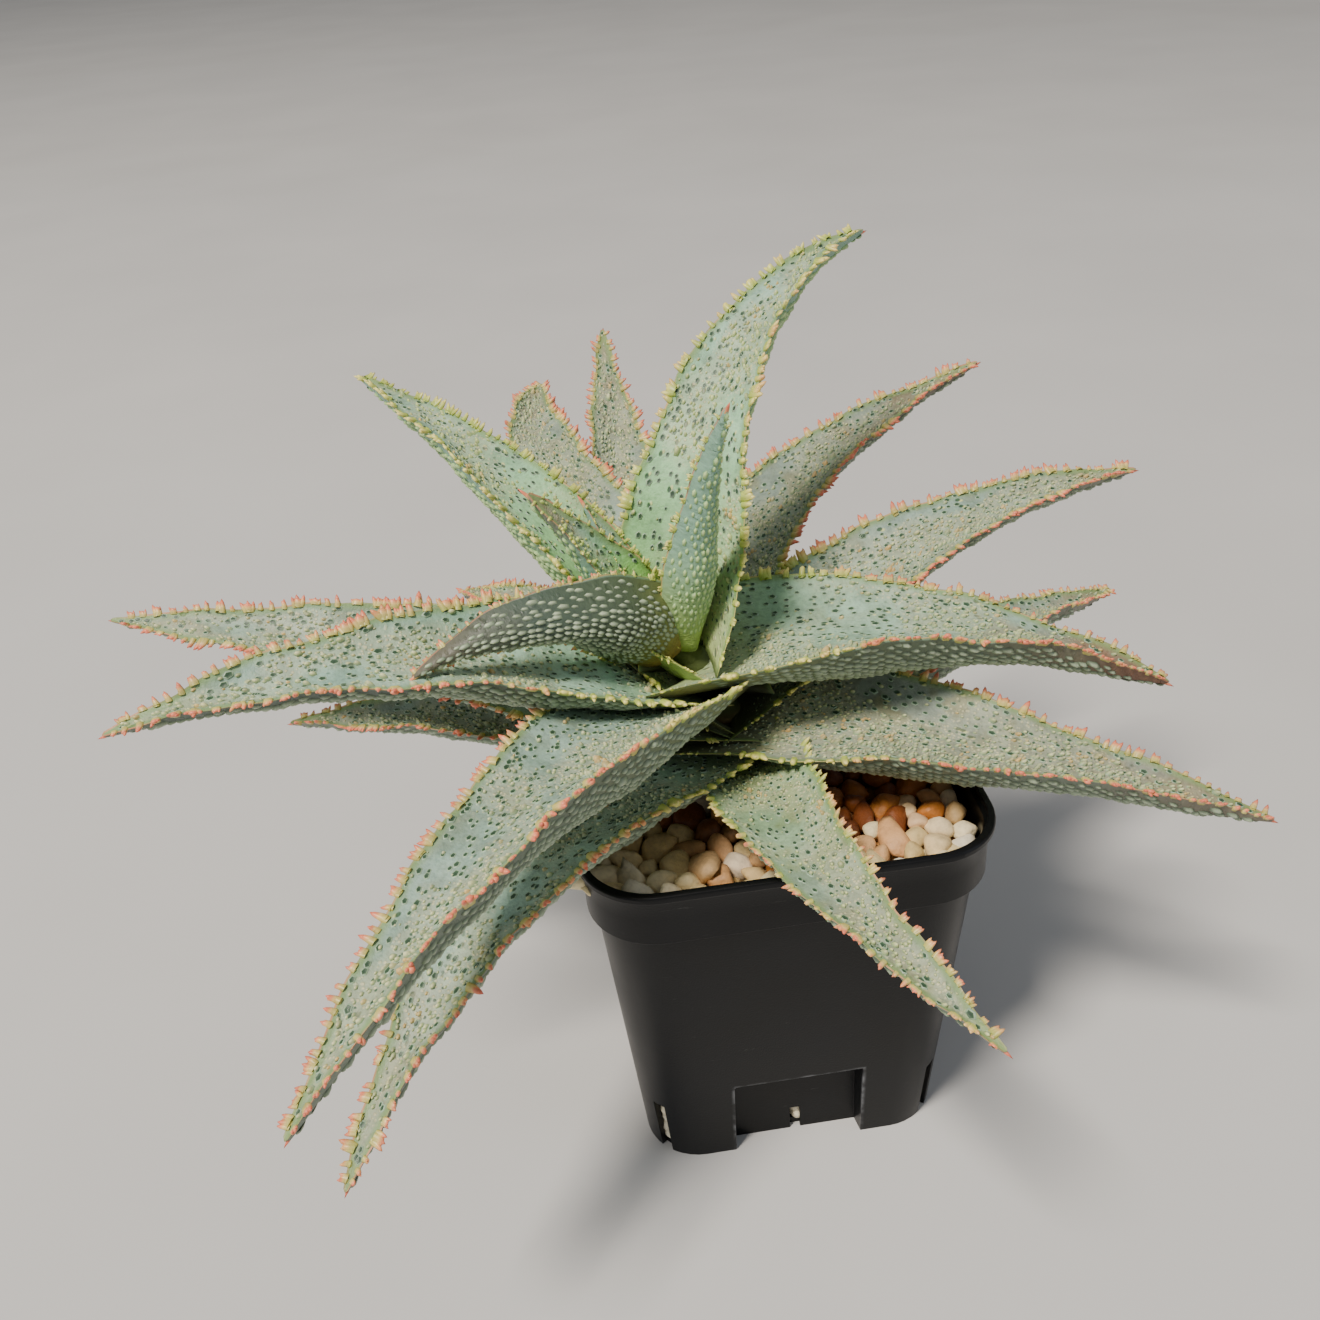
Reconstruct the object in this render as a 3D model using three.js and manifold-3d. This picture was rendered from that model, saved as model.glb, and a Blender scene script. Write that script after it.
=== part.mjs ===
// Potted lavender star aloe: a rosette of toothed, warty succulent leaves on a short leaning stem,
// rooted in pebbles in a square black nursery pot.
// Millimetres, +Z up, origin at the centre of the pot's base, front of the pot at -Y.

import * as THREE from 'three';
import Module from 'manifold-3d';

const wasm = await Module();
wasm.setup();

// Driving dimensions of the pot

const potHeight = 91;
const rimHalf = 45;
const rimCorner = 16;
const rimLip = 1;
const rimLipHeight = 2.5;
const bandHeight = 15;
const bandStep = 1;
const baseHalf = 35.5;
const baseCorner = 13;
const potWall = 1.5;
const potFloor = 2;
const cornerFacets = 5;

// A shallow bay in the foot of each wall, with a small slit in it, and a drain slot at each corner

const bayWidth = 30;
const bayHeight = 24;
const bayDepth = 4;
const slitWidth = 2.5;
const slitHeight = 7;
const slotWidth = 3;
const slotHeight = 17;
const slotReach = 5;

// Pebbles

const clearance = 0.3;
const gravelLevel = 84.5;
const patchFloor = 80;
const pebbleSpacing = 10;
const pebbleRise = 1.9;
const pebbleShoulder = 0.74;
const pebbleJitter = 3;

// The stem leans to -X from where it leaves the pebbles

const stemRoot = new THREE.Vector3(2, 2, 80);
const stemLean = -20 / 45;
const stemFootHeight = 60;
const stemTopHeight = 122;
const stemFootRadius = 7;
const stemTopRadius = 4.5;
const stemSides = 12;

// What all leaves share. A leaf's section is a channel above and a round belly below.

const stationSpacing = 7.7;
const stepsPerStation = 8;
const topAcross = [1, 0.36, -0.36, -1];
const bellyAcross = [-0.5, 0.5];
const insertionRadius = 3;
const widestAt = 0.17;
const taperPower = 0.92;
const tipHalfWidth = 0.4;
const depthShare = 0.27;
const baseDepthShare = 0.3;
const deepestAt = 0.3;
const depthPower = 0.75;
const tipDepth = 0.8;
const channelShare = 0.3;
const channelRest = 0.4;
const bellyPower = 2.6;
const claspEnd = 0.25;
const claspPower = 1.6;
const toothLength = 2.3;
const toothSlant = 0.8;
const teethStart = 0.15;
const wartHeight = 0.9;
const leafGap = 0.5;
const wartStart = 0.15;
const wartFullWidth = 6;

// Leaves from the heart outwards. height: where the leaf leaves the stem. azimuth: its middle heading,
// 0 at +X and 90 at +Y. rise: its middle slope. droop: how much steeper it starts, and flatter it ends.
// sweep: how much its heading turns from the middle to the tip. roll and twist turn its face.
// base: how wide it is at the stem as a share of its width. clasp: how far its base reaches round the stem.

const leafColumns = [
  'height', 'azimuth', 'rise', 'droop', 'sweep', 'length', 'width', 'roll', 'twist', 'base', 'clasp',
];
const leafRows = [
  [124, 20, 78, 5, 0, 26, 10, 0, 0, 0.78, 4.5],
  [123, 150, 62, 8, 0, 34, 12, 0, 0, 0.78, 5.5],
  [122, -65, 72, 14, -6, 64, 14, 0, 0, 0.78, 6.5],
  [121, 181, 57, 11, -2, 48, 19, -28, 0, 0.78, 9],
  [121, 48, 44, 44, -16, 114, 29, 0, 0, 0.78, 13.5],
  [122, 204, 13.5, 41.5, -11, 65, 20.5, 85, 13, 0.78, 0],
  [117, 131, 24, 22, -8, 115, 27, 5, -2, 0.78, 12.5],
  [119, -13, -5, 21, -8, 104, 36, -2, -9, 1.1, 21],
  [116, 40, 15, -2, -34, 128, 28, 12, 0, 0.78, 13],
  [113, 195, 11, 24, -5, 124, 32, -18, -2, 0.78, 5],
  [110, 232, -2, 27, 1, 137, 34, 9, -1, 0.78, 8],
  [108, 95, 27, 3, -11, 115, 27, 0, 0, 0.78, 12.5],
  [108, 169, 10, 8, -6, 133, 31, -30, 0, 0.78, 14.5],
  [107, 107, 21, 33, -32, 121, 32, 0, 0, 0.78, 15],
  [105, 21, 11, 16, -11, 126, 29, 13, 0, 0.78, 13.5],
  [105, -23, -8, 10, 2, 118, 34, 5, -10, 1.2, 16],
  [103, 124, -4, 24, -14, 105, 28, 0, 0, 0.78, 13],
  [97, 227, -11, 28, 10, 131, 30, -5, 4, 0.78, 8],
  [100, 75, -12, 30, 0, 112, 27, 0, 0, 0.78, 12.5],
  [99, 22, -2, 14, 12, 118, 26, 3, 0, 0.78, 12],
  [97, 165, 0, 17, -12, 106, 26, -14, 0, 0.78, 12],
  [94.5, -74.5, 0, 16, 19, 105, 24.5, 10, 1, 1.2, 8],
  [96, 145, -12, 32, 0, 108, 27, 0, 0, 0.78, 12.5],
  [94, 105, -10, 36, 0, 106, 26, 0, 0, 0.78, 12],
].map((row) => Object.fromEntries(leafColumns.map((column, k) => [column, row[k]])));

// Small helpers

function makeRandom(seed) {
  let state = seed;
  return () => {
    state = (state * 1664525 + 1013904223) % 4294967296;
    return state / 4294967296;
  };
}

function solidFrom(points, triangles) {
  const vertProperties = new Float32Array(points.flatMap((point) => point.toArray()));
  const triVerts = new Uint32Array(triangles.flat());
  return new wasm.Manifold(new wasm.Mesh({ numProp: 3, vertProperties, triVerts }));
}

function largestBody(solid) {
  const bodies = solid.decompose();
  return bodies.reduce((best, body) => (body.volume() > best.volume() ? body : best));
}

function meshFrom(name, solid, material) {
  const mesh = solid.getMesh();
  const geometry = new THREE.BufferGeometry();
  geometry.setAttribute('position', new THREE.BufferAttribute(new Float32Array(mesh.vertProperties), 3));
  geometry.setIndex(new THREE.BufferAttribute(new Uint32Array(mesh.triVerts), 1));
  geometry.computeVertexNormals();
  const result = new THREE.Mesh(geometry, material);
  result.name = name;
  return result;
}

// Triangles that close a ring from one end to the other, so that a bent ring is closed along its bend

function zipped(size) {
  const triangles = [];
  let low = 0;
  let high = size - 1;
  while (high - low > 1) {
    triangles.push([low, low + 1, high]);
    low += 1;
    if (high - low > 1) {
      triangles.push([low, high - 1, high]);
      high -= 1;
    }
  }
  return triangles;
}

// A closed solid through rings of equal size, in order along the solid, each ring right-handed about it

function loft(rings) {
  const size = rings[0].length;
  const points = rings.flat();
  const last = (rings.length - 1) * size;
  const triangles = [];
  for (let ring = 0; ring + 1 < rings.length; ring += 1) {
    for (let k = 0; k < size; k += 1) {
      const a = ring * size + k;
      const b = ring * size + ((k + 1) % size);
      triangles.push([a, b, b + size], [a, b + size, a + size]);
    }
  }
  zipped(size).forEach(([a, b, c]) => triangles.push([a, c, b], [last + a, last + b, last + c]));
  return solidFrom(points, triangles);
}

function roundedSquare(half, corner, height) {
  const ring = [];
  for (let quarter = 0; quarter < 4; quarter += 1) {
    const middle = new THREE.Vector2(half - corner, half - corner);
    middle.rotateAround(new THREE.Vector2(0, 0), (quarter * Math.PI) / 2);
    for (let facet = 0; facet <= cornerFacets; facet += 1) {
      const angle = ((quarter + facet / cornerFacets) * Math.PI) / 2;
      ring.push(new THREE.Vector3(
        middle.x + corner * Math.cos(angle),
        middle.y + corner * Math.sin(angle),
        height,
      ));
    }
  }
  return ring;
}

function block(width, depth, height, x, y, z, turn) {
  const ring = (level) => [[-1, -1], [1, -1], [1, 1], [-1, 1]].map(([i, j]) => {
    const corner = new THREE.Vector2(x + (i * width) / 2, y + (j * depth) / 2);
    corner.rotateAround(new THREE.Vector2(0, 0), turn);
    return new THREE.Vector3(corner.x, corner.y, level);
  });
  return loft([ring(z), ring(z + height)]);
}

// Pot

function wallHalf(height) {
  const bandFoot = potHeight - bandHeight;
  const underBand = rimHalf - rimLip - bandStep;
  return baseHalf + ((underBand - 1 - baseHalf) * Math.min(height, bandFoot)) / bandFoot;
}

function cornerRadius(height) {
  return baseCorner + ((rimCorner - baseCorner) * height) / potHeight;
}

function potSection(height, offset) {
  return roundedSquare(wallHalf(height) + offset, cornerRadius(height) + offset, height);
}

function atEachSide(make) {
  return [0, 1, 2, 3].map((side) => make((side * Math.PI) / 2));
}

function bay(growth) {
  const top = bayHeight + growth;
  const outerFace = baseHalf + 8;
  const innerFace = baseHalf - bayDepth - growth;
  return (turn) => block(
    bayWidth + 2 * growth, outerFace - innerFace, top + 1, 0, -(outerFace + innerFace) / 2, -1, turn,
  );
}

function makePot() {
  const bandFoot = potHeight - bandHeight;
  const bandHalf = rimHalf - rimLip;
  const lipFoot = potHeight - rimLipHeight;
  const outside = loft([
    potSection(0, 0),
    potSection(bandFoot, 0),
    roundedSquare(bandHalf - 0.8, rimCorner - 0.8, bandFoot + bandStep),
    roundedSquare(bandHalf, rimCorner, lipFoot),
    roundedSquare(rimHalf, rimCorner + 1, lipFoot + 0.8),
    roundedSquare(rimHalf, rimCorner + 1, potHeight),
  ]);
  const inside = loft([
    potSection(potFloor, -potWall),
    potSection(bandFoot, -potWall),
    roundedSquare(bandHalf - potWall, rimCorner - potWall, potHeight + 1),
  ]);
  let pot = outside.subtract(inside);
  const bulges = atEachSide(bay(potWall)).map((piece) => piece.intersect(outside));
  const bays = atEachSide(bay(0));
  const slits = atEachSide((turn) => block(
    slitWidth, 2 * bayDepth, slitHeight + 1, 0, bayDepth - baseHalf, -1, turn,
  ));
  const slots = atEachSide((turn) => {
    const outward = Math.SQRT2 * (baseHalf - baseCorner) + baseCorner;
    return block(slotWidth, 2 * slotReach, slotHeight + 1, 0, -outward, -1, turn + Math.PI / 4);
  });
  bulges.forEach((piece) => { pot = pot.add(piece); });
  [...bays, ...slits, ...slots].forEach((piece) => { pot = pot.subtract(piece); });
  return largestBody(pot);
}

// Pebbles: a filling up to the gravel level, topped with a patch of pebbles that meet in seams.
// Each pebble is an uneven hexagon with a raised shoulder and crown.

function makePebblePatch() {
  const random = makeRandom(7);
  const rowSpacing = pebbleSpacing * Math.sin(Math.PI / 3);
  const rows = Math.ceil(rimHalf / rowSpacing);
  const columns = Math.ceil(rimHalf / pebbleSpacing) + 1;
  const key = (row, column) => `${row},${column}`;
  const middles = new Map();
  for (let row = -rows - 1; row <= rows + 1; row += 1) {
    for (let column = -columns - 1; column <= columns + 1; column += 1) {
      const x = (column + (row % 2 === 0 ? 0 : 0.5)) * pebbleSpacing;
      const wander = () => pebbleJitter * (random() - 0.5);
      middles.set(key(row, column), new THREE.Vector3(x + wander(), row * rowSpacing + wander(), 0));
    }
  }
  const points = [];
  const triangles = [];
  const seamPoints = new Map();
  const edges = new Map();
  const seamPoint = (cells) => {
    const name = [...cells].sort().join(' ');
    if (!seamPoints.has(name)) {
      const middle = cells.reduce((sum, cell) => sum.add(middles.get(cell)), new THREE.Vector3());
      middle.divideScalar(3).setZ(gravelLevel);
      seamPoints.set(name, [points.push(middle) - 1, points.push(middle.clone().setZ(patchFloor)) - 1]);
    }
    return seamPoints.get(name);
  };
  for (let row = -rows; row <= rows; row += 1) {
    for (let column = -columns; column <= columns; column += 1) {
      const shift = row % 2 === 0 ? -1 : 0;
      const around = [
        key(row, column + 1), key(row + 1, column + shift + 1), key(row + 1, column + shift),
        key(row, column - 1), key(row - 1, column + shift), key(row - 1, column + shift + 1),
      ];
      const middle = middles.get(key(row, column));
      const seam = around.map((cell, k) => seamPoint([key(row, column), cell, around[(k + 1) % 6]]));
      const rise = pebbleRise * (0.7 + 0.6 * random());
      const shoulder = seam.map(([top]) => {
        const point = middle.clone().setZ(gravelLevel).lerp(points[top], pebbleShoulder);
        return points.push(point.setZ(gravelLevel + rise * (0.7 + 0.3 * random()))) - 1;
      });
      const crown = points.push(middle.clone().setZ(gravelLevel + 1.25 * rise)) - 1;
      seam.forEach(([top, bottom], k) => {
        const next = (k + 1) % 6;
        const [nextTop, nextBottom] = seam[next];
        triangles.push([top, nextTop, shoulder[next]], [top, shoulder[next], shoulder[k]]);
        triangles.push([shoulder[k], shoulder[next], crown]);
        if (k > 0 && k < 5) triangles.push([seam[0][1], nextBottom, bottom]);
        const edge = [top, nextTop].sort((a, b) => a - b).join();
        if (edges.has(edge)) edges.delete(edge);
        else edges.set(edge, [[top, bottom, nextBottom], [top, nextBottom, nextTop]]);
      });
    }
  }
  edges.forEach((sides) => triangles.push(...sides));
  return solidFrom(points, triangles);
}

function makeGravel(stemHole) {
  const inset = potWall + clearance;
  const foot = [potSection(potFloor + clearance, -inset), potSection(potHeight - bandHeight, -inset)];
  const insideBand = (height) => roundedSquare(rimHalf - rimLip - inset - 0.5, rimCorner - inset, height);
  const core = loft([...foot, insideBand((gravelLevel + patchFloor) / 2)]);
  const room = loft([...foot, insideBand(potHeight)]);
  let gravel = core.add(makePebblePatch()).intersect(room);
  atEachSide(bay(inset)).forEach((piece) => { gravel = gravel.subtract(piece); });
  return largestBody(gravel.subtract(stemHole));
}

// Stem

function stemAxis(height) {
  const rise = Math.max(height - stemRoot.z, 0);
  return new THREE.Vector3(stemRoot.x + stemLean * rise, stemRoot.y, height);
}

function makeStem(growth) {
  const heights = [stemFootHeight - growth, stemRoot.z, stemTopHeight + growth];
  const rings = heights.map((height) => {
    const share = (height - stemFootHeight) / (stemTopHeight - stemFootHeight);
    const radius = stemFootRadius + (stemTopRadius - stemFootRadius) * share + growth;
    return Array.from({ length: stemSides }, (_, k) => {
      const angle = (2 * Math.PI * k) / stemSides;
      return stemAxis(height).add(new THREE.Vector3(radius * Math.cos(angle), radius * Math.sin(angle), 0));
    });
  });
  return loft(rings);
}

// Leaves

function leafStations(leaf) {
  const count = Math.round(leaf.length / stationSpacing);
  const stepCount = count * stepsPerStation;
  const heading = (t) => THREE.MathUtils.degToRad(leaf.azimuth + leaf.sweep * (2 * t - 1));
  const slope = (t) => THREE.MathUtils.degToRad(leaf.rise + leaf.droop * (1 - 2 * t));
  const turn = (t) => THREE.MathUtils.degToRad(leaf.roll + leaf.twist * (2 * t - 1));
  const outward = new THREE.Vector3(Math.cos(heading(0)), Math.sin(heading(0)), 0);
  const centre = stemAxis(leaf.height).addScaledVector(outward, insertionRadius);
  const direction = (t) => new THREE.Vector3(
    Math.cos(slope(t)) * Math.cos(heading(t)),
    Math.cos(slope(t)) * Math.sin(heading(t)),
    Math.sin(slope(t)),
  );
  const stationAt = (t) => {
    const forward = direction(t);
    const side = new THREE.Vector3(-Math.sin(heading(t)), Math.cos(heading(t)), 0);
    side.applyAxisAngle(forward, turn(t));
    const inward = side.clone().multiplyScalar(outward.dot(side)).sub(outward);
    return { t, centre: centre.clone(), inward, forward, side, up: forward.clone().cross(side) };
  };
  const stations = [stationAt(0)];
  for (let step = 1; step <= stepCount; step += 1) {
    centre.addScaledVector(direction((step - 0.5) / stepCount), leaf.length / stepCount);
    if (step % stepsPerStation === 0) stations.push(stationAt(step / stepCount));
  }
  return stations;
}

function halfWidthAt(leaf, t) {
  const sheath = leaf.base + (1 - leaf.base) * Math.sin((Math.PI / 2) * (t / widestAt));
  const blade = Math.max(1 - (t - widestAt) / (1 - widestAt), 0) ** taperPower;
  return tipHalfWidth + (leaf.width / 2) * (t < widestAt ? sheath : blade);
}

function depthAt(leaf, t) {
  const sheath = baseDepthShare + ((1 - baseDepthShare) * t) / deepestAt;
  const blade = Math.max(1 - (t - deepestAt) / (1 - deepestAt), 0) ** depthPower;
  return tipDepth + depthShare * leaf.width * (t < deepestAt ? sheath : blade);
}

// A point of a leaf's skin. across runs from 1 at the left margin to -1 at the right one.

function claspAt(leaf, t) {
  return leaf.clasp * Math.max(1 - t / claspEnd, 0) ** 2;
}

function leafPoint(leaf, station, across, onTop) {
  const { t, centre, inward, side, up } = station;
  const halfWidth = halfWidthAt(leaf, t);
  const belly = depthAt(leaf, t) * (1 - Math.abs(across) ** bellyPower);
  const channel = channelShare * halfWidth * (across * across - channelRest);
  return centre.clone()
    .addScaledVector(side, across * halfWidth)
    .addScaledVector(up, channel - (onTop ? 0 : belly))
    .addScaledVector(inward, claspAt(leaf, t) * Math.abs(across) ** claspPower);
}

// The same point moved out by growth, square to the skin, and at the margins by sideGrowth along it

function grownLeafPoint(leaf, station, across, onTop, growth, sideGrowth) {
  const { t, inward, side, up } = station;
  const wrap = claspAt(leaf, t) * inward.dot(up) * claspPower * Math.abs(across) ** (claspPower - 1);
  const climb = 2 * channelShare * across + (Math.sign(across) * wrap) / halfWidthAt(leaf, t);
  const alongSkin = side.clone().addScaledVector(up, climb).normalize();
  const outOfSkin = up.clone().addScaledVector(side, -climb).normalize();
  return leafPoint(leaf, station, across, onTop)
    .addScaledVector(alongSkin, Math.abs(across) === 1 ? across * sideGrowth : 0)
    .addScaledVector(outOfSkin, onTop ? growth : -growth);
}

// The room that a leaf needs, with its teeth and warts and the gap that its neighbours leave

function leafRoom(leaf) {
  const stations = leafStations(leaf);
  const tip = stations.at(-1);
  const start = { ...stations[0], centre: stations[0].centre.clone().sub(stations[0].forward) };
  const end = { ...tip, centre: tip.centre.clone().add(tip.forward) };
  const rings = [start, ...stations, end].map((station) => {
    const growth = leafGap + (station.t < wartStart ? 0 : 1.3 * wartHeight);
    const sideGrowth = leafGap + (station.t < teethStart ? 0 : 1.3 * toothLength);
    const point = (across, onTop) => grownLeafPoint(leaf, station, across, onTop, growth, sideGrowth);
    return [
      ...topAcross.map((across) => point(across, true)),
      ...[-1, ...bellyAcross, 1].map((across) => point(across, false)),
    ];
  });
  return loft(rings);
}

function makeLeaf(leaf, random) {
  const stations = leafStations(leaf);
  const tip = stations.length - 1;
  const points = [];
  const triangles = [];
  const add = (point) => points.push(point) - 1;
  const rings = stations.slice(0, tip).map((station) => [
    ...topAcross.map((across) => add(leafPoint(leaf, station, across, true))),
    ...bellyAcross.map((across) => add(leafPoint(leaf, station, across, false))),
  ]);
  const size = rings[0].length;
  const rightMargin = topAcross.length - 1;

  const teeth = rings.map((ring, k) => {
    const { t, side, forward } = stations[k];
    const reach = toothLength * (1 - 0.5 * t) * (0.7 + 0.5 * random()) * Math.min(leaf.width / 20, 1);
    return [0, rightMargin].map((margin) => {
      if (k + 1 === tip || t < teethStart) return null;
      const middle = points[ring[margin]].clone().lerp(points[rings[k + 1][margin]], 0.5);
      const outwards = margin === 0 ? reach : -reach;
      return add(middle.addScaledVector(side, outwards).addScaledVector(forward, toothSlant));
    });
  });

  for (let k = 0; k + 1 < tip; k += 1) {
    const { t } = stations[k];
    for (let j = 0; j < size; j += 1) {
      const next = (j + 1) % size;
      const near = [rings[k][j], rings[k][next]];
      const far = [rings[k + 1][next], rings[k + 1][j]];
      const toothAt = { 0: teeth[k][0], [rightMargin]: teeth[k][1] };
      const edge = [...near, toothAt[next] ?? null, ...far, toothAt[j] ?? null].filter((id) => id !== null);
      const corners = [...near, ...far].map((id) => points[id]);
      const across = corners[1].clone().sub(corners[0]);
      const along = corners[3].clone().sub(corners[0]);
      const outOfSkin = across.clone().cross(along).normalize();
      const wart = wartHeight * (0.6 + 0.4 * random()) * Math.min(across.length() / wartFullWidth, 1);
      if (t < wartStart) {
        edge.slice(2).forEach((id, m) => triangles.push([edge[0], edge[m + 1], id]));
        continue;
      }
      const centre = corners.reduce((sum, corner) => sum.add(corner), new THREE.Vector3()).divideScalar(4);
      const top = add(centre.addScaledVector(outOfSkin, wart));
      edge.forEach((id, m) => triangles.push([id, edge[(m + 1) % edge.length], top]));
    }
  }
  const tipPoint = add(stations[tip].centre.clone());
  const lastRing = rings[tip - 1];
  lastRing.forEach((id, j) => triangles.push([id, lastRing[(j + 1) % size], tipPoint]));
  zipped(size).forEach(([a, b, c]) => triangles.push([rings[0][a], rings[0][c], rings[0][b]]));
  return solidFrom(points, triangles);
}

// Materials and the assembly

const finish = (color, roughness) => new THREE.MeshStandardMaterial({ color, roughness, metalness: 0 });

const aloe = new THREE.Group();
aloe.add(meshFrom('pot', makePot(), finish(0x1c1d20, 0.5)));
aloe.add(meshFrom('gravel', makeGravel(makeStem(clearance)), finish(0xcdb48c, 0.85)));
aloe.add(meshFrom('stem', makeStem(0), finish(0x8a6f45, 0.8)));

const leafRandom = makeRandom(11);
let taken = makeStem(clearance);
leafRows.forEach((leaf, order) => {
  const name = `leaf_${String(order + 1).padStart(2, '0')}`;
  const whole = makeLeaf(leaf, leafRandom);
  aloe.add(meshFrom(name, largestBody(whole.subtract(taken)), finish(0x86958a, 0.6)));
  taken = taken.add(leafRoom(leaf));
});

export default aloe;
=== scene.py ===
"""A potted star aloe: toothed, pitted leaves on a short stem, rooted in pebbles in a square black pot.

Metres, +Z up, origin at the centre of the pot's base, front of the pot at -Y.
"""

import math
from types import SimpleNamespace

import bmesh
import bpy
import numpy as np
from mathutils import Matrix, Vector
from mathutils.bvhtree import BVHTree


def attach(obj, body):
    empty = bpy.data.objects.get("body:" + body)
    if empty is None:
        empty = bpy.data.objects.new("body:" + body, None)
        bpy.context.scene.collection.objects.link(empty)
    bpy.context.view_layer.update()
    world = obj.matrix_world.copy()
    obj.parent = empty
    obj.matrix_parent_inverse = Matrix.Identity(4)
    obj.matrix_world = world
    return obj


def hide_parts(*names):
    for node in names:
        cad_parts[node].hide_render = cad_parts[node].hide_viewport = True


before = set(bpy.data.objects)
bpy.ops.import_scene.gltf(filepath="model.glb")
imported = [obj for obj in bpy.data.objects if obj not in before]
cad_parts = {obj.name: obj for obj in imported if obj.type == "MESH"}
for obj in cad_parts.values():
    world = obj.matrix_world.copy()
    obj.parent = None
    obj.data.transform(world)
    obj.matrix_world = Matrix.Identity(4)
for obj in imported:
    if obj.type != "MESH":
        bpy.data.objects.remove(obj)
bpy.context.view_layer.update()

MM = 0.001


# Camera, at the photograph's viewing angle

SENSOR_WIDTH = 36
FOCAL_PIXELS = 1340
PHOTO_PIXELS = 1320
CAMERA_PLACE = Vector((-44.4, -249, 271)) * MM


def photo_axes(pitch, yaw, roll):
    """Right, up and forward of a camera that looks down by pitch along +Y, turned to +X by yaw."""
    pitch, yaw, roll = (math.radians(angle) for angle in (pitch, yaw, roll))
    ahead = math.cos(pitch)
    forward = Vector((math.sin(yaw) * ahead, math.cos(yaw) * ahead, -math.sin(pitch)))
    level = Vector((math.cos(yaw), -math.sin(yaw), 0))
    above = level.cross(forward)
    right = math.cos(roll) * level + math.sin(roll) * above
    up = -math.sin(roll) * level + math.cos(roll) * above
    return right, up, forward


camera_data = bpy.data.cameras.new("camera")
camera_data.sensor_width = SENSOR_WIDTH
camera_data.lens = SENSOR_WIDTH * FOCAL_PIXELS / PHOTO_PIXELS
camera_data.clip_start = 0.01
camera = bpy.data.objects.new("camera", camera_data)
right, up, forward = photo_axes(pitch=31.3, yaw=5.3, roll=-4.5)
facing = Matrix((right, up, -forward)).transposed().to_4x4()
camera.matrix_world = Matrix.Translation(CAMERA_PLACE) @ facing
bpy.context.scene.collection.objects.link(camera)
bpy.context.scene.camera = camera


# Colours and nodes

# Settings that many nodes share. A Map Range goes smoothly from input 3 to 4 while input 0 goes from 1 to 2.
# A Mix lays colour 7 over colour 6, or shades 6 with 7, by the share 0. A sum is input 0 x 1 + 2.
SMOOTH = {"interpolation_type": "SMOOTHSTEP"}
OVER = {"data_type": "RGBA"}
SHADE = {"data_type": "RGBA", "blend_type": "MULTIPLY"}
TIMES = {"operation": "MULTIPLY"}
SUM = {"operation": "MULTIPLY_ADD"}


def linear(hex_colour):
    """An sRGB hex colour as linear red, green, blue and alpha."""
    shares = [int(hex_colour[k:k + 2], 16) / 255 for k in (1, 3, 5)]
    return [s / 12.92 if s <= 0.04045 else ((s + 0.055) / 1.055) ** 2.4 for s in shares] + [1]


def add(tree, kind, inputs=None, stops=None, **settings):
    """Adds a node. inputs gives sockets a value, a hex colour, one output of another node, or the node
    itself for its first output in use. stops are a ramp's colours or greys."""
    made = tree.nodes.new("ShaderNode" + kind)
    for name, value in settings.items():
        setattr(made, name, value)
    for socket, value in (inputs or {}).items():
        if isinstance(value, bpy.types.Node):
            value = next(output for output in value.outputs if output.enabled)
        if isinstance(value, bpy.types.NodeSocket):
            tree.links.new(value, made.inputs[socket])
        else:
            made.inputs[socket].default_value = linear(value) if isinstance(value, str) else value
    if stops:
        elements = made.color_ramp.elements
        while len(elements) < len(stops):
            elements.new(0.5)
        for element, (position, colour) in zip(elements, stops):
            element.position = position
            element.color = linear(colour) if isinstance(colour, str) else [colour, colour, colour, 1]
    return made


def new_material(name, shade):
    """A node material. shade(tree) adds its nodes and returns the inputs of its surface shader."""
    material = bpy.data.materials.new(name)
    material.use_nodes = True
    tree = material.node_tree
    tree.nodes.clear()
    surface = add(tree, "BsdfPrincipled", shade(tree))
    add(tree, "OutputMaterial", {"Surface": surface})
    return material


# Leaf materials. Pattern scales are per millimetre of leaf: 0.46 gives cells about 2.2 mm apart.

BLOOM = [(0.3, "#7FA393"), (0.5, "#96BBAC"), (0.72, "#ACCBBF")]
SHEATH = [(0.0, "#A98A4E"), (0.07, "#8C8646"), (0.16, "#6B743E")]
SHEATH += [(0.3, "#4A5840"), (0.6, "#47574C"), (1.0, "#5D6A5C")]
HORNY_RIM = [(0.0, "#D3CF6E"), (0.25, "#DBC27C"), (0.55, "#DDA27C"), (1.0, "#CF8A6E")]
# The pits' dark green hollows are partly painted shade
PIT_COLOURS = [(0.0, "#86A592"), (0.35, "#A2B99B"), (0.6, "#46624A"), (1.0, "#2C4533")]
GRAIN_COLOURS = [(0.0, "#7B957E"), (0.3, "#839871"), (0.65, "#C8CD9C"), (1.0, "#E3E2B8")]
RIDGE_COLOURS = [(0.0, "#3C4A38"), (0.2, "#5B6B56"), (0.7, "#98A78D"), (1.0, "#B2BDA2")]
CORAL = [(0.0, "#B9B562"), (0.22, "#E6C27C"), (0.5, "#E98A68"), (1.0, "#DC6452")]
YELLOW = [(0.0, "#A9BC56"), (0.5, "#E2DC7C"), (1.0, "#F1DD94")]


def leaf_values(tree, *labels):
    """A place for patterns on the leaf meshes, mm along and across with a level for each side of each
    leaf, and the values stored there under these labels."""
    length, width, leaf, under, *values = (
        add(tree, "Attribute", attribute_name=label).outputs["Fac"]
        for label in ("along_mm", "across_mm", "leaf", "under", *labels)
    )
    side = add(tree, "Math", {0: under, 1: 9, 2: leaf}, **SUM)
    return add(tree, "CombineXYZ", {"X": length, "Y": width, "Z": side}), under, *values


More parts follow.
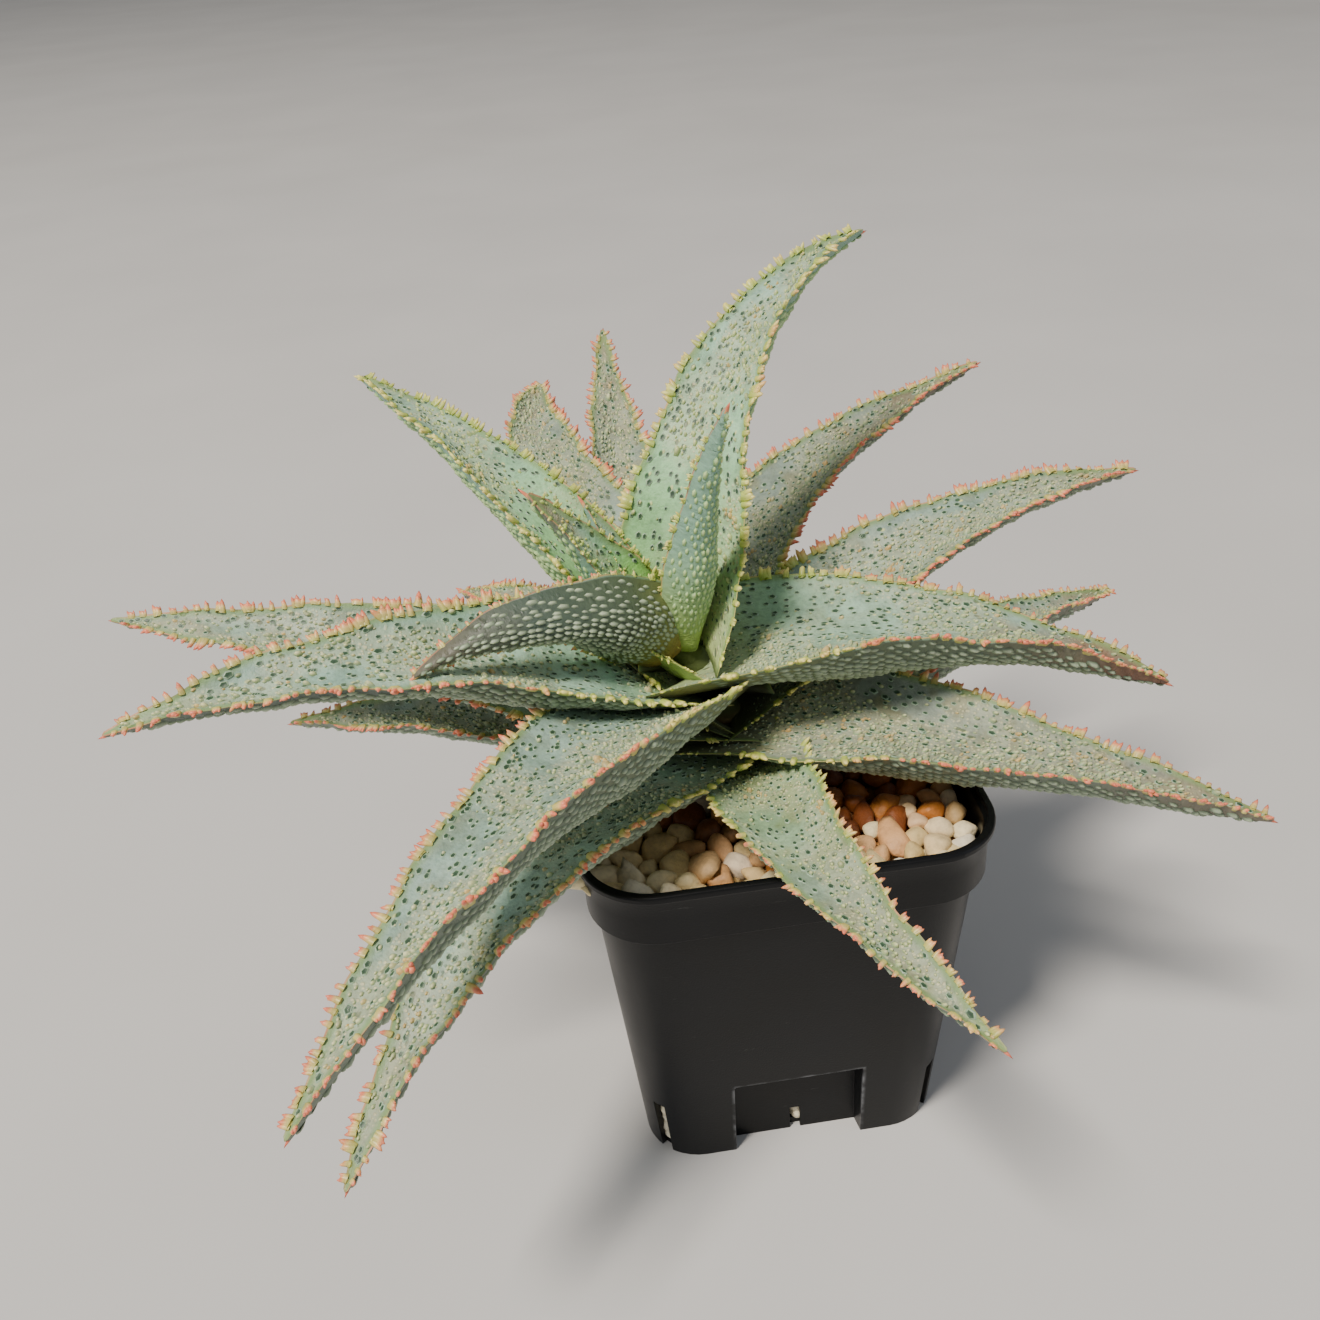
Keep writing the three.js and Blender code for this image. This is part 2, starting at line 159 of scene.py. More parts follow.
def shade_leaf_skin(tree):
    """Living aloe skin: a waxy bloom that scatters light, blue-green above and dark olive below."""
    place, under, along, margin, young, grey, burnt, pale = leaf_values(
        tree, "along", "margin", "young", "grey", "burnt", "pale")
    patches = add(tree, "TexNoise", {"Vector": place, "Scale": 0.07, "Detail": 3})
    clouds = add(tree, "TexNoise", {"Vector": place, "Scale": 0.13})
    specks = add(tree, "TexNoise", {"Vector": place, "Scale": 1.1, "Detail": 3, "Roughness": 0.6})

    # The bloom, greyer on old leaves, fresh green on young ones, and olive at the tip
    bloom = add(tree, "ValToRGB", {"Fac": patches}, stops=BLOOM)
    cloudy = add(tree, "MapRange", {0: clouds, 1: 0.48, 2: 0.66}, **SMOOTH)
    weathered = add(tree, "Math", {0: grey, 1: cloudy}, **TIMES)
    fading = add(tree, "MapRange", {0: along, 1: 0.1, 2: 0.8, 3: 1.5, 4: 0.05}, **SMOOTH)
    fresh = add(tree, "Math", {0: young, 1: fading}, **TIMES)
    low = add(tree, "MapRange", {0: along, 1: 0, 2: 0.2, 3: 1, 4: 0}, **SMOOTH)
    youth = add(tree, "Math", {0: young, 1: 0.4})
    base = add(tree, "Math", {0: low, 1: youth}, **TIMES)
    outer = add(tree, "MapRange", {0: along, 1: 0.7, 2: 1, 3: 0, 4: 0.55}, **SMOOTH)
    top = bloom
    for share, colour in (
        (grey, "#868F83"), (weathered, "#7F8163"), (fresh, "#9BDD72"), (base, "#B4BE6E"), (outer, "#8C9160"),
    ):
        top = add(tree, "Mix", {0: share, 6: top, 7: colour}, **OVER)

    # Dark green dimples, 1.3 mm long and 0.8 mm wide, where the bloom is worn, their dark partly painted
    # shade of the bumps, with a pale fleck beside each as a painted highlight on the bumps' lit side
    drawn = add(tree, "Mapping", {"Vector": place, "Scale": (0.6, 1, 1)})
    beside = add(tree, "Mapping", {"Vector": place, "Scale": (0.6, 1, 1), "Location": (-0.34, 0.42, 0)})
    marks = []
    for spot, inner, reach in ((beside, 0.1, 0.21), (drawn, 0.13, 0.24)):
        cells = add(tree, "TexVoronoi", {"Vector": spot, "Scale": 0.46})
        kept = add(tree, "MapRange", {0: cells.outputs["Color"], 1: 0.3, 2: 0.36}, **SMOOTH)
        near = add(tree, "MapRange", {0: cells.outputs["Distance"], 1: inner, 2: reach, 3: 1, 4: 0}, **SMOOTH)
        marks.append(add(tree, "Math", {0: near, 1: kept}, **TIMES))
    painted_highlight_fleck, dimple_and_painted_shade = marks
    for mark, strength, colour in ((painted_highlight_fleck, 0.85, "#D3D793"), (dimple_and_painted_shade, 0.95, "#33523B")):
        share = add(tree, "Math", {0: mark, 1: strength}, **TIMES)
        top = add(tree, "Mix", {0: share, 6: top, 7: colour}, **OVER)

    # Cream specks and dark ones between them, 0.6 mm across, where the grains crowd
    patch = add(tree, "Math", {0: clouds, 1: 0.5, 2: pale}, **SUM)
    patch = add(tree, "MapRange", {0: patch, 1: 0.55, 2: 1}, **SMOOTH)
    inside = add(tree, "MapRange", {0: margin, 1: 0.8, 2: 2.5}, **SMOOTH)
    patch = add(tree, "Math", {0: patch, 1: inside}, **TIMES)
    fine = add(tree, "TexVoronoi", {"Vector": place, "Scale": 1.25})
    chance, distance = fine.outputs["Color"], fine.outputs["Distance"]
    chosen = add(tree, "MapRange", {0: chance, 1: 0.45, 2: 0.5}, **SMOOTH)
    near = add(tree, "MapRange", {0: distance, 1: 0.25, 2: 0.5, 3: 1, 4: 0}, **SMOOTH)
    cream = add(tree, "Math", {0: chosen, 1: near}, **TIMES)
    chosen = add(tree, "MapRange", {0: chance, 1: 0.2, 2: 0.25, 3: 1, 4: 0}, **SMOOTH)
    near = add(tree, "MapRange", {0: distance, 1: 0.3, 2: 0.55, 3: 1, 4: 0}, **SMOOTH)
    dark = add(tree, "Math", {0: chosen, 1: near}, **TIMES)
    haze = add(tree, "Math", {0: patch, 1: 0.42}, **TIMES)
    dark = add(tree, "Math", {0: dark, 1: patch}, **TIMES)
    cream = add(tree, "Math", {0: cream, 1: patch}, **TIMES)
    cream_share = add(tree, "Math", {0: cream, 1: 0.8}, **TIMES)
    for share, colour in ((haze, "#B4B796"), (dark, "#4A6450"), (cream_share, "#CDCBA4")):
        top = add(tree, "Mix", {0: share, 6: top, 7: colour}, **OVER)

    # Lighter and darker, finely and in areas 5 mm across
    tone = add(tree, "ValToRGB", {"Fac": specks}, stops=[(0.34, 0.7), (0.5, 1.0), (0.68, 1.16)])
    areas = add(tree, "TexNoise", {"Vector": place, "Scale": 0.2, "Detail": 3})
    broad = add(tree, "ValToRGB", {"Fac": areas}, stops=[(0.36, 0.78), (0.5, 1.0), (0.66, 1.1)])
    top = add(tree, "Mix", {0: 0.55, 6: top, 7: tone}, **SHADE)
    top = add(tree, "Mix", {0: 0.8, 6: top, 7: broad}, **SHADE)

    # Below, the green is deep, with an olive to orange sheath at the base
    sheath = add(tree, "ValToRGB", {"Fac": along}, stops=SHEATH)
    youngest = add(tree, "MapRange", {0: young, 1: 0.15, 2: 0.4}, **SMOOTH)
    outward = add(tree, "MapRange", {0: along, 1: 0, 2: 0.5}, **SMOOTH)
    pale_green = add(tree, "Mix", {0: outward, 6: "#A2BC68", 7: "#86AD96"}, **OVER)
    greyish = add(tree, "MapRange", {0: grey, 1: 0.1, 2: 0.4, 3: 0, 4: 0.5}, **SMOOTH)
    below = add(tree, "Mix", {0: youngest, 6: sheath, 7: pale_green}, **OVER)
    below = add(tree, "Mix", {0: greyish, 6: below, 7: "#8D9883"}, **OVER)
    below = add(tree, "Mix", {0: 0.6, 6: below, 7: tone}, **SHADE)
    skin = add(tree, "Mix", {0: under, 6: top, 7: below}, **OVER)

    # Painted shade: old leaves are dark at the base, deep in the rosette's heart where shade falls, and some
    # are scorched brown towards the tip
    old = add(tree, "MapRange", {0: young, 1: 0.03, 2: 0.1, 3: 0.85, 4: 0}, **SMOOTH)
    deep = add(tree, "MapRange", {0: along, 1: 0.03, 2: 0.13, 3: 1, 4: 0}, **SMOOTH)
    deep = add(tree, "Math", {0: deep, 1: old}, **TIMES)
    scorch = add(tree, "Math", {0: clouds, 1: 0.3, 2: along}, **SUM)
    scorch = add(tree, "MapRange", {0: scorch, 1: 0.72, 2: 1.1}, **SMOOTH)
    scorch = add(tree, "Math", {0: scorch, 1: burnt}, **TIMES)
    scorch = add(tree, "Math", {0: scorch, 1: 0.85}, **TIMES)

    # A horny line along each margin, gone 0.5 mm from it, with a green band inside it
    band = add(tree, "MapRange", {0: margin, 1: 0.4, 2: 2.4, 3: 0.8, 4: 0}, **SMOOTH)
    above = add(tree, "MapRange", {0: under, 1: 0.2, 2: 0.6, 3: 1, 4: 0}, **SMOOTH)
    band = add(tree, "Math", {0: band, 1: above}, **TIMES)
    rim = add(tree, "ValToRGB", {"Fac": along}, stops=HORNY_RIM)
    edge = add(tree, "MapRange", {0: margin, 1: 0.15, 2: 0.5, 3: 1, 4: 0}, **SMOOTH)
    broken = add(tree, "MapRange", {0: patches, 1: 0.4, 2: 0.6, 3: 0.1, 4: 0.8}, **SMOOTH)
    edge = add(tree, "Math", {0: edge, 1: broken}, **TIMES)
    # Lays the painted shade at the heart, the scorch, the green band and the horny line over the skin
    for share, colour in ((deep, "#39401F"), (scorch, "#7A5240"), (band, "#7E9A5E"), (edge, rim)):
        skin = add(tree, "Mix", {0: share, 6: skin, 7: colour}, **OVER)

    height = specks
    for mark, strength in ((painted_highlight_fleck, 0.6), (cream, 0.9), (dimple_and_painted_shade, -1.3)):
        height = add(tree, "Math", {0: mark, 1: strength, 2: height}, **SUM)
    bump = add(tree, "Bump", {"Height": height, "Strength": 0.5, "Distance": 0.4 * MM})
    rough = add(tree, "MapRange", {0: specks, 1: 0.3, 2: 0.7, 3: 0.4, 4: 0.62}, **SMOOTH)
    return {"Base Color": skin, "Roughness": rough, "Normal": bump, "IOR": 1.45, "Subsurface Weight": 0.06,
            "Subsurface Radius": (0.002, 0.003, 0.001), "Subsurface Scale": 0.4}


def shade_leaf_bumps(tree):
    """Dark green pits with a raised edge, where the bloom stops, their hollows darkened partly as painted
    shade, pale horny grains, and ridges below.
    """
    place, under, lift, young, pale = leaf_values(tree, "lift", "young", "pale")
    tone = add(tree, "TexNoise", {"Vector": place, "Scale": 0.35})
    pits = add(tree, "ValToRGB", {"Fac": lift}, stops=PIT_COLOURS)
    grains = add(tree, "ValToRGB", {"Fac": lift}, stops=GRAIN_COLOURS)
    fresh = add(tree, "Math", {0: young, 1: 0.8}, **TIMES)
    fresh = add(tree, "Math", {0: fresh, 1: pale}, **TIMES)
    spots = add(tree, "TexNoise", {"Vector": place, "Scale": 0.22})
    rusty = add(tree, "MapRange", {0: spots, 1: 0.6, 2: 0.66}, **SMOOTH)
    rusty = add(tree, "Math", {0: rusty, 1: pale}, **TIMES)
    rusty = add(tree, "Math", {0: rusty, 1: 0.7}, **TIMES)
    above = pits
    for share, colour in ((pale, grains), (fresh, "#BCD468"), (rusty, "#D9A860")):
        above = add(tree, "Mix", {0: share, 6: above, 7: colour}, **OVER)
    ridges = add(tree, "ValToRGB", {"Fac": lift}, stops=RIDGE_COLOURS)
    youngest = add(tree, "MapRange", {0: young, 1: 0.15, 2: 0.4}, **SMOOTH)
    green = add(tree, "Mix", {0: lift, 6: "#5E9A60", 7: "#C6DC9C"}, **OVER)
    below = add(tree, "Mix", {0: youngest, 6: ridges, 7: green}, **OVER)
    both = add(tree, "Mix", {0: under, 6: above, 7: below}, **OVER)
    tint = add(tree, "ValToRGB", {"Fac": tone}, stops=[(0.35, 0.75), (0.6, 1.1)])
    colour = add(tree, "Mix", {0: 0.7, 6: both, 7: tint}, **SHADE)
    return {"Base Color": colour, "Roughness": 0.46, "IOR": 1.45, "Subsurface Weight": 0.12,
            "Subsurface Radius": (0.002, 0.003, 0.001), "Subsurface Scale": 0.4}


def shade_leaf_teeth(tree):
    """Horny teeth: pale yellow where they leave the margin, coral pink at the point."""
    place, _, along, lift, young = leaf_values(tree, "along", "lift", "young")
    coral = add(tree, "ValToRGB", {"Fac": lift}, stops=CORAL)
    yellow = add(tree, "ValToRGB", {"Fac": lift}, stops=YELLOW)
    outer = add(tree, "MapRange", {0: along, 1: 0.12, 2: 0.45}, **SMOOTH)
    groups = add(tree, "TexNoise", {"Vector": place, "Scale": 0.3})
    sort = add(tree, "Math", {0: groups, 1: 1.3, 2: outer}, **SUM)
    sort = add(tree, "Math", {0: young, 1: -2, 2: sort}, **SUM)
    sort = add(tree, "MapRange", {0: sort, 1: 0.8, 2: 1.5}, **SMOOTH)
    both = add(tree, "Mix", {0: sort, 6: yellow, 7: coral}, **OVER)
    tone = add(tree, "TexNoise", {"Vector": place, "Scale": 0.9})
    tint = add(tree, "ValToRGB", {"Fac": tone}, stops=[(0.35, 0.82), (0.6, 1.12)])
    colour = add(tree, "Mix", {0: 0.7, 6: both, 7: tint}, **SHADE)
    return {"Base Color": colour, "Roughness": 0.4, "IOR": 1.5, "Subsurface Weight": 0.15,
            "Subsurface Radius": (0.003, 0.002, 0.001), "Subsurface Scale": 0.5}


# Other materials. Pattern scales are per metre: 120 gives streaks about 8 mm apart.


def shade_pot(tree):
    """Injection-moulded polypropylene, satin black, with fine pale scuffs and rubbed edges round its bays."""
    place = add(tree, "TexCoord").outputs["Object"]
    streaks = add(tree, "Mapping", {"Vector": place, "Scale": (1, 1, 9)})
    scuff = add(tree, "TexNoise", {"Vector": streaks, "Scale": 120, "Detail": 6, "Roughness": 0.75})
    mask = add(tree, "ValToRGB", {"Fac": scuff}, stops=[(0.66, 0.0), (0.74, 0.35)])
    haze = add(tree, "TexNoise", {"Vector": place, "Scale": 45, "Detail": 4})
    cloud = add(tree, "ValToRGB", {"Fac": haze}, stops=[(0.35, "#060708"), (0.7, "#0D0F12")])
    colour = add(tree, "Mix", {0: mask, 6: cloud, 7: "#6E6D6A"}, **OVER)
    # Paler where the edges have been rubbed
    worn = add(tree, "Attribute", attribute_name="worn").outputs["Fac"]
    ridge = add(tree, "MapRange", {0: worn, 1: 0.8, 2: 1}, **SMOOTH)
    wear = add(tree, "TexNoise", {"Vector": place, "Scale": 260, "Detail": 4})
    wear = add(tree, "MapRange", {0: wear, 1: 0.42, 2: 0.65, 3: 0.05, 4: 0.5}, **SMOOTH)
    rubbed = add(tree, "Math", {0: ridge, 1: wear}, **TIMES)
    colour = add(tree, "Mix", {0: rubbed, 6: colour, 7: "#8F9296"}, **OVER)
    # Moulding grain, really under 0.1 mm, drawn at 0.4 mm so that it shows
    grain = add(tree, "TexNoise", {"Vector": place, "Scale": 2500, "Detail": 2})
    bump = add(tree, "Bump", {"Height": grain, "Strength": 0.12, "Distance": 0.3 * MM})
    rough = add(tree, "MapRange", {0: haze, 1: 0.3, 2: 0.7, 3: 0.3, 4: 0.42})
    return {"Base Color": colour, "Roughness": rough, "Normal": bump, "IOR": 1.49, "Specular IOR Level": 0.25}


def shade_pebbles(tree):
    """Tumbled pumice and baked clay pebbles: chalky cream, and orange-brown where they are wet near the stem,
    a colour that is partly painted shade under the leaves.
    """
    tone = add(tree, "Attribute", attribute_name="tone").outputs["Fac"]
    damp = add(tree, "Attribute", attribute_name="damp").outputs["Fac"]
    place = add(tree, "TexCoord").outputs["Object"]
    dry = add(tree, "ValToRGB", {"Fac": tone},
              stops=[(0.0, "#D4B97E"), (0.35, "#E6CF98"), (0.7, "#EFDFB2"), (1.0, "#F2EAD4")])
    wet = add(tree, "ValToRGB", {"Fac": tone},
              stops=[(0.0, "#6E3A18"), (0.4, "#A35C24"), (0.75, "#C67E38"), (1.0, "#D6A260")])
    mottle = add(tree, "TexNoise", {"Vector": place, "Scale": 420, "Detail": 4, "Roughness": 0.6})
    stain = add(tree, "ValToRGB", {"Fac": mottle}, stops=[(0.35, 0.72), (0.55, 1.0), (0.7, 1.12)])
    # The wet orange-brown, strongest near the stem, is partly painted shade under the leaves
    colour = add(tree, "Mix", {0: damp, 6: dry, 7: wet}, **OVER)
    colour = add(tree, "Mix", {0: 0.75, 6: colour, 7: stain}, **SHADE)
    pores = add(tree, "TexNoise", {"Vector": place, "Scale": 1500, "Detail": 3})
    bump = add(tree, "Bump", {"Height": pores, "Strength": 0.4, "Distance": 0.5 * MM})
    rough = add(tree, "MapRange", {0: damp, 3: 0.85, 4: 0.5})
    return {"Base Color": colour, "Roughness": rough, "Normal": bump, "IOR": 1.5}


def shade_potting_mix(tree):
    """Damp potting mix of bark and grit, dark brown and crumbly."""
    place = add(tree, "TexCoord").outputs["Object"]
    crumbs = add(tree, "TexNoise", {"Vector": place, "Scale": 500, "Detail": 5, "Roughness": 0.7})
    colour = add(tree, "ValToRGB", {"Fac": crumbs},
                 stops=[(0.35, "#1F150E"), (0.55, "#3A281A"), (0.75, "#6B4F35")])
    bump = add(tree, "Bump", {"Height": crumbs, "Strength": 0.8, "Distance": 1 * MM})
    return {"Base Color": colour, "Roughness": 0.9, "Normal": bump, "IOR": 1.45}


def shade_stem(tree):
    """The stem's dry corky skin with papery rings where old leaves came away."""
    place = add(tree, "TexCoord").outputs["Object"]
    rings = add(tree, "Mapping", {"Vector": place, "Scale": (1, 1, 5)})
    layers = add(tree, "TexNoise", {"Vector": rings, "Scale": 160, "Detail": 4})
    cork = add(tree, "ValToRGB", {"Fac": layers},
               stops=[(0.35, "#5B4328"), (0.55, "#8A6B42"), (0.75, "#B89A68")])
    bump = add(tree, "Bump", {"Height": layers, "Strength": 0.6, "Distance": 1 * MM})
    # Among the leaves, from 100 mm up, it is still green, and dark because no light gets there
    height = add(tree, "SeparateXYZ", {"Vector": place}).outputs["Z"]
    green = add(tree, "MapRange", {0: height, 1: 0.1, 2: 0.106}, **SMOOTH)
    skin = add(tree, "Mix", {0: green, 6: cork, 7: "#4E5A2B"}, **OVER)
    return {"Base Color": skin, "Roughness": 0.8, "Normal": bump, "IOR": 1.45}


def shade_floor(tree):
    """A matt painted board, pale grey."""
    place = add(tree, "TexCoord").outputs["Object"]
    paint = add(tree, "TexNoise", {"Vector": place, "Scale": 6, "Detail": 3})
    colour = add(tree, "ValToRGB", {"Fac": paint}, stops=[(0.3, "#C3C3C2"), (0.7, "#C9C9C8")])
    return {"Base Color": colour, "Roughness": 0.8, "IOR": 1.45}


leaf_skin = new_material("aloe_leaf_waxy_skin", shade_leaf_skin)
leaf_bumps = new_material("aloe_leaf_warts", shade_leaf_bumps)
leaf_teeth = new_material("aloe_leaf_horny_teeth", shade_leaf_teeth)
black_plastic = new_material("moulded_black_polypropylene", shade_pot)
pumice = new_material("pumice_and_clay_pebbles", shade_pebbles)
potting_mix = new_material("damp_potting_mix", shade_potting_mix)
corky_stem = new_material("dry_corky_stem", shade_stem)
pale_board = new_material("pale_painted_board", shade_floor)


# Leaf shape, in millimetres, the same as the solids'

STEM_ROOT = np.array([2, 2, 80])
STEM_LEAN = -20 / 45

LEAF_COLUMNS = (
    "height", "azimuth", "rise", "droop", "sweep", "length", "width", "roll", "twist", "base", "clasp",
    "young", "grey", "burnt",
)
LEAF_ROWS = [
    (124, 20, 78, 5, 0, 26, 10, 0, 0, 0.78, 4.5, 1.0, 0.0, 0.0),
    (123, 150, 62, 8, 0, 34, 12, 0, 0, 0.78, 5.5, 1.0, 0.0, 0.0),
    (122, -65, 72, 14, -6, 64, 14, 0, 0, 0.78, 6.5, 0.45, 0.0, 0.0),
    (121, 181, 57, 11, -2, 48, 19, -28, 0, 0.78, 9, 1.0, 0.0, 0.7),
    (121, 48, 44, 44, -16, 114, 29, 0, 0, 0.78, 13.5, 0.35, 0.0, 0.0),
    (122, 204, 13.5, 41.5, -11, 65, 20.5, 85, 13, 0.78, 0, 0.1, 0.0, 0.3),
    (117, 131, 24, 22, -8, 115, 27, 5, -2, 0.78, 12.5, 0.5, 0.0, 0.0),
    (119, -13, -5, 21, -8, 104, 36, -2, -9, 1.1, 21, 0.1, 0.3, 1),
    (116, 40, 15, -2, -34, 128, 28, 12, 0, 0.78, 13, 0.0, 0.75, 0.5),
    (113, 195, 11, 24, -5, 124, 32, -18, -2, 0.78, 5, 0.1, 0.1, 0.0),
    (110, 232, -2, 27, 1, 137, 34, 9, -1, 0.78, 8, 0.0, 0.35, 0.0),
    (108, 95, 27, 3, -11, 115, 27, 0, 0, 0.78, 12.5, 0.0, 0.7, 0.3),
    (108, 169, 10, 8, -6, 133, 31, -30, 0, 0.78, 14.5, 0.0, 0.3, 0.2),
    (107, 107, 21, 33, -32, 121, 32, 0, 0, 0.78, 15, 0.0, 0.6, 0.3),
    (105, 21, 11, 16, -11, 126, 29, 13, 0, 0.78, 13.5, 0.0, 0.45, 0.2),
    (105, -23, -8, 10, 2, 118, 34, 5, -10, 1.2, 16, 0.0, 0.9, 0.45),
    (103, 124, -4, 24, -14, 105, 28, 0, 0, 0.78, 13, 0.0, 0.7, 0.4),
    (97, 227, -11, 28, 10, 131, 30, -5, 4, 0.78, 8, 0.1, 0.3, 0.2),
    (100, 75, -12, 30, 0, 112, 27, 0, 0, 0.78, 12.5, 0.0, 0.7, 0.0),
    (99, 22, -2, 14, 12, 118, 26, 3, 0, 0.78, 12, 0.0, 0.6, 0.4),
    (97, 165, 0, 17, -12, 106, 26, -14, 0, 0.78, 12, 0.0, 0.7, 0.0),
    (94.5, -74.5, 0, 16, 19, 105, 24.5, 10, 1, 1.2, 8, 0.2, 0.75, 0.0),
    (96, 145, -12, 32, 0, 108, 27, 0, 0, 0.78, 12.5, 0.0, 0.8, 0.0),
    (94, 105, -10, 36, 0, 106, 26, 0, 0, 0.78, 12, 0.0, 0.8, 0.0),
]

LINE_STEPS = 240
LINE_START = 3
WIDEST_AT = 0.17
DEEPEST_AT = 0.3
CLASP_END = 0.25


def unit(vectors):
    """The vectors, each one long."""
    return vectors / np.maximum(np.linalg.norm(vectors, axis=-1, keepdims=True), 1e-9)


def leaf_axes(leaf, t):
    """Forward, side and up at shares t of a leaf's length."""
    heading = np.radians(leaf.azimuth + leaf.sweep * (2 * t - 1))
    slope = np.radians(leaf.rise + leaf.droop * (1 - 2 * t))
    turn = np.radians(leaf.roll + leaf.twist * (2 * t - 1))[..., None]
    forward = np.stack([np.cos(slope) * np.cos(heading), np.cos(slope) * np.sin(heading), np.sin(slope)], -1)
    level = np.stack([-np.sin(heading), np.cos(heading), 0 * heading], -1)
    side = level * np.cos(turn) + np.cross(forward, level) * np.sin(turn)
    return forward, side, np.cross(forward, side)


def lay_out(row):
    """A leaf with its own random numbers and the line through its middle."""
    leaf = SimpleNamespace(**dict(zip(LEAF_COLUMNS, row)))
    leaf.random = np.random.default_rng(int(leaf.height * 1000 + leaf.azimuth))
    leaf.phases = leaf.random.uniform(0, 6.28, 6)
    leaf.steps = np.linspace(0, 1, LINE_STEPS + 1)
    heading = math.radians(leaf.azimuth - leaf.sweep)
    leaf.outward = np.array([math.cos(heading), math.sin(heading), 0])
    up_stem = leaf.height - STEM_ROOT[2]
    start = STEM_ROOT + np.array([STEM_LEAN * up_stem, 0, up_stem]) + LINE_START * leaf.outward
    middles = leaf_axes(leaf, (leaf.steps[1:] + leaf.steps[:-1]) / 2)[0] * leaf.length / LINE_STEPS
    leaf.line = start + np.vstack([np.zeros(3), np.cumsum(middles, 0)])
    return leaf


def half_width(leaf, t):
    """Half the leaf's width: it widens a little out of its sheath, then narrows to the tip."""
    sheath = leaf.base + (1 - leaf.base) * np.sin(np.pi / 2 * t / WIDEST_AT)
    blade = np.maximum(1 - (t - WIDEST_AT) / (1 - WIDEST_AT), 0) ** 0.92
    return 0.4 + leaf.width / 2 * np.where(t < WIDEST_AT, sheath, blade)


def thickness(leaf, t):
    """The leaf's thickness in its middle: thin where it clasps the stem, fleshy further out."""
    sheath = 0.3 + 0.7 * t / DEEPEST_AT
    blade = np.maximum(1 - (t - DEEPEST_AT) / (1 - DEEPEST_AT), 0) ** 0.75
    return 0.8 + 0.27 * leaf.width * np.where(t < DEEPEST_AT, sheath, blade)


def skin_point(leaf, t, across, under):
    """Points of a leaf's skin. across runs from 1 at the left margin to -1 at the right one."""
    centre = np.stack([np.interp(t, leaf.steps, leaf.line[:, k]) for k in range(3)], -1)
    forward, side, up = leaf_axes(leaf, t)
    half = half_width(leaf, t)
    lift = 0.3 * half * (across ** 2 - 0.4) - under * thickness(leaf, t) * (1 - np.abs(across) ** 2.6)
    clasp = leaf.clasp * np.maximum(1 - t / CLASP_END, 0) ** 2 * np.abs(across) ** 1.6
    # Real leaves are a little wavy, more so along their margins
    along = t * leaf.length
    a, b, c, d, e, f = leaf.phases
    wave = 0.45 * across ** 2 * np.sin(along / 5.3 + a + 1.5 * across)
    wave = wave + 0.3 * np.sin(along / 8.1 + b + 2.6 * across)
    wave += 0.16 * np.sin(along / 2.3 + c) * np.sin(4.5 * across + d)
    sway = 0.3 * across * np.sin(along / 4.1 + e) + 0.2 * across * np.sin(along / 1.9 + f)
    calm = np.clip(t / 0.15, 0, 1) * np.clip((1 - t) / 0.12, 0, 1) * min(leaf.width / 24, 1)
    point = centre + side * (across * half + sway * calm)[..., None] + up * (lift + wave * calm)[..., None]
    inward = side * (side @ leaf.outward)[..., None] - leaf.outward
    return point + inward * clasp[..., None]


def skin_frame(leaf, t, across, under):
    """Points of the skin with the direction to the tip, the direction across and the way out."""
    point = skin_point(leaf, t, across, under)
    further = skin_point(leaf, np.minimum(t + 0.004, 1), across, under)
    nearer = skin_point(leaf, np.maximum(t - 0.004, 0), across, under)
    ahead = unit(further - nearer)
    leftward = unit(skin_point(leaf, t, across + 0.01, under) - skin_point(leaf, t, across - 0.01, under))
    leftward = leftward * np.where(under > 0.5, -1, 1)[..., None]
    return point, ahead, leftward, unit(np.cross(ahead, leftward))


# Meshes


class Forms:
    """Collects vertices, faces and per-vertex values for one mesh."""

    def __init__(self):
        self.points = []
        self.faces = []
        self.slots = []
        self.values = {}
        self.count = 0

    def put(self, points, faces, slot, **values):
        """Adds points and faces that take the material in this slot. A value is one for all, or one each."""
        points = np.asarray(points, float).reshape(-1, 3)
        self.points.append(points)
        self.faces += [[corner + self.count for corner in face] for face in faces]
        self.slots += [slot] * len(faces)
        for name, value in values.items():
            self.values.setdefault(name, []).append((self.count, np.broadcast_to(value, len(points))))
        self.count += len(points)

    def build(self, name, materials):
        """The mesh as an object that rides on the root body."""
        mesh = bpy.data.meshes.new(name)
        mesh.from_pydata((np.vstack(self.points) * MM).tolist(), [], self.faces)
        for material in materials:
            mesh.materials.append(material)
        mesh.polygons.foreach_set("material_index", self.slots)
        mesh.polygons.foreach_set("use_smooth", [True] * len(self.faces))
        for label, parts in self.values.items():
            whole = np.zeros(self.count, np.float32)
            for first, value in parts:
                whole[first:first + len(value)] = value
            mesh.attributes.new(label, "FLOAT", "POINT").data.foreach_set("value", whole)
        mesh.validate()
        piece = bpy.data.objects.new(name, mesh)
        bpy.context.scene.collection.objects.link(piece)
        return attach(piece, "root")


def tube_faces(rows, size):
    """The faces of a tube of so many rings, each of the same size, open at both ends."""
    faces = []
    for row in range(rows - 1):
        for k in range(size):
            a, b = row * size + k, row * size + (k + 1) % size
            faces.append((a, b, b + size, a + size))
    return faces


def closed_tube(rows, size):
    """The faces of a tube with a lid at each end."""
    lids = [tuple(range(size))[::-1], tuple((rows - 1) * size + k for k in range(size))]
    return tube_faces(rows, size) + lids


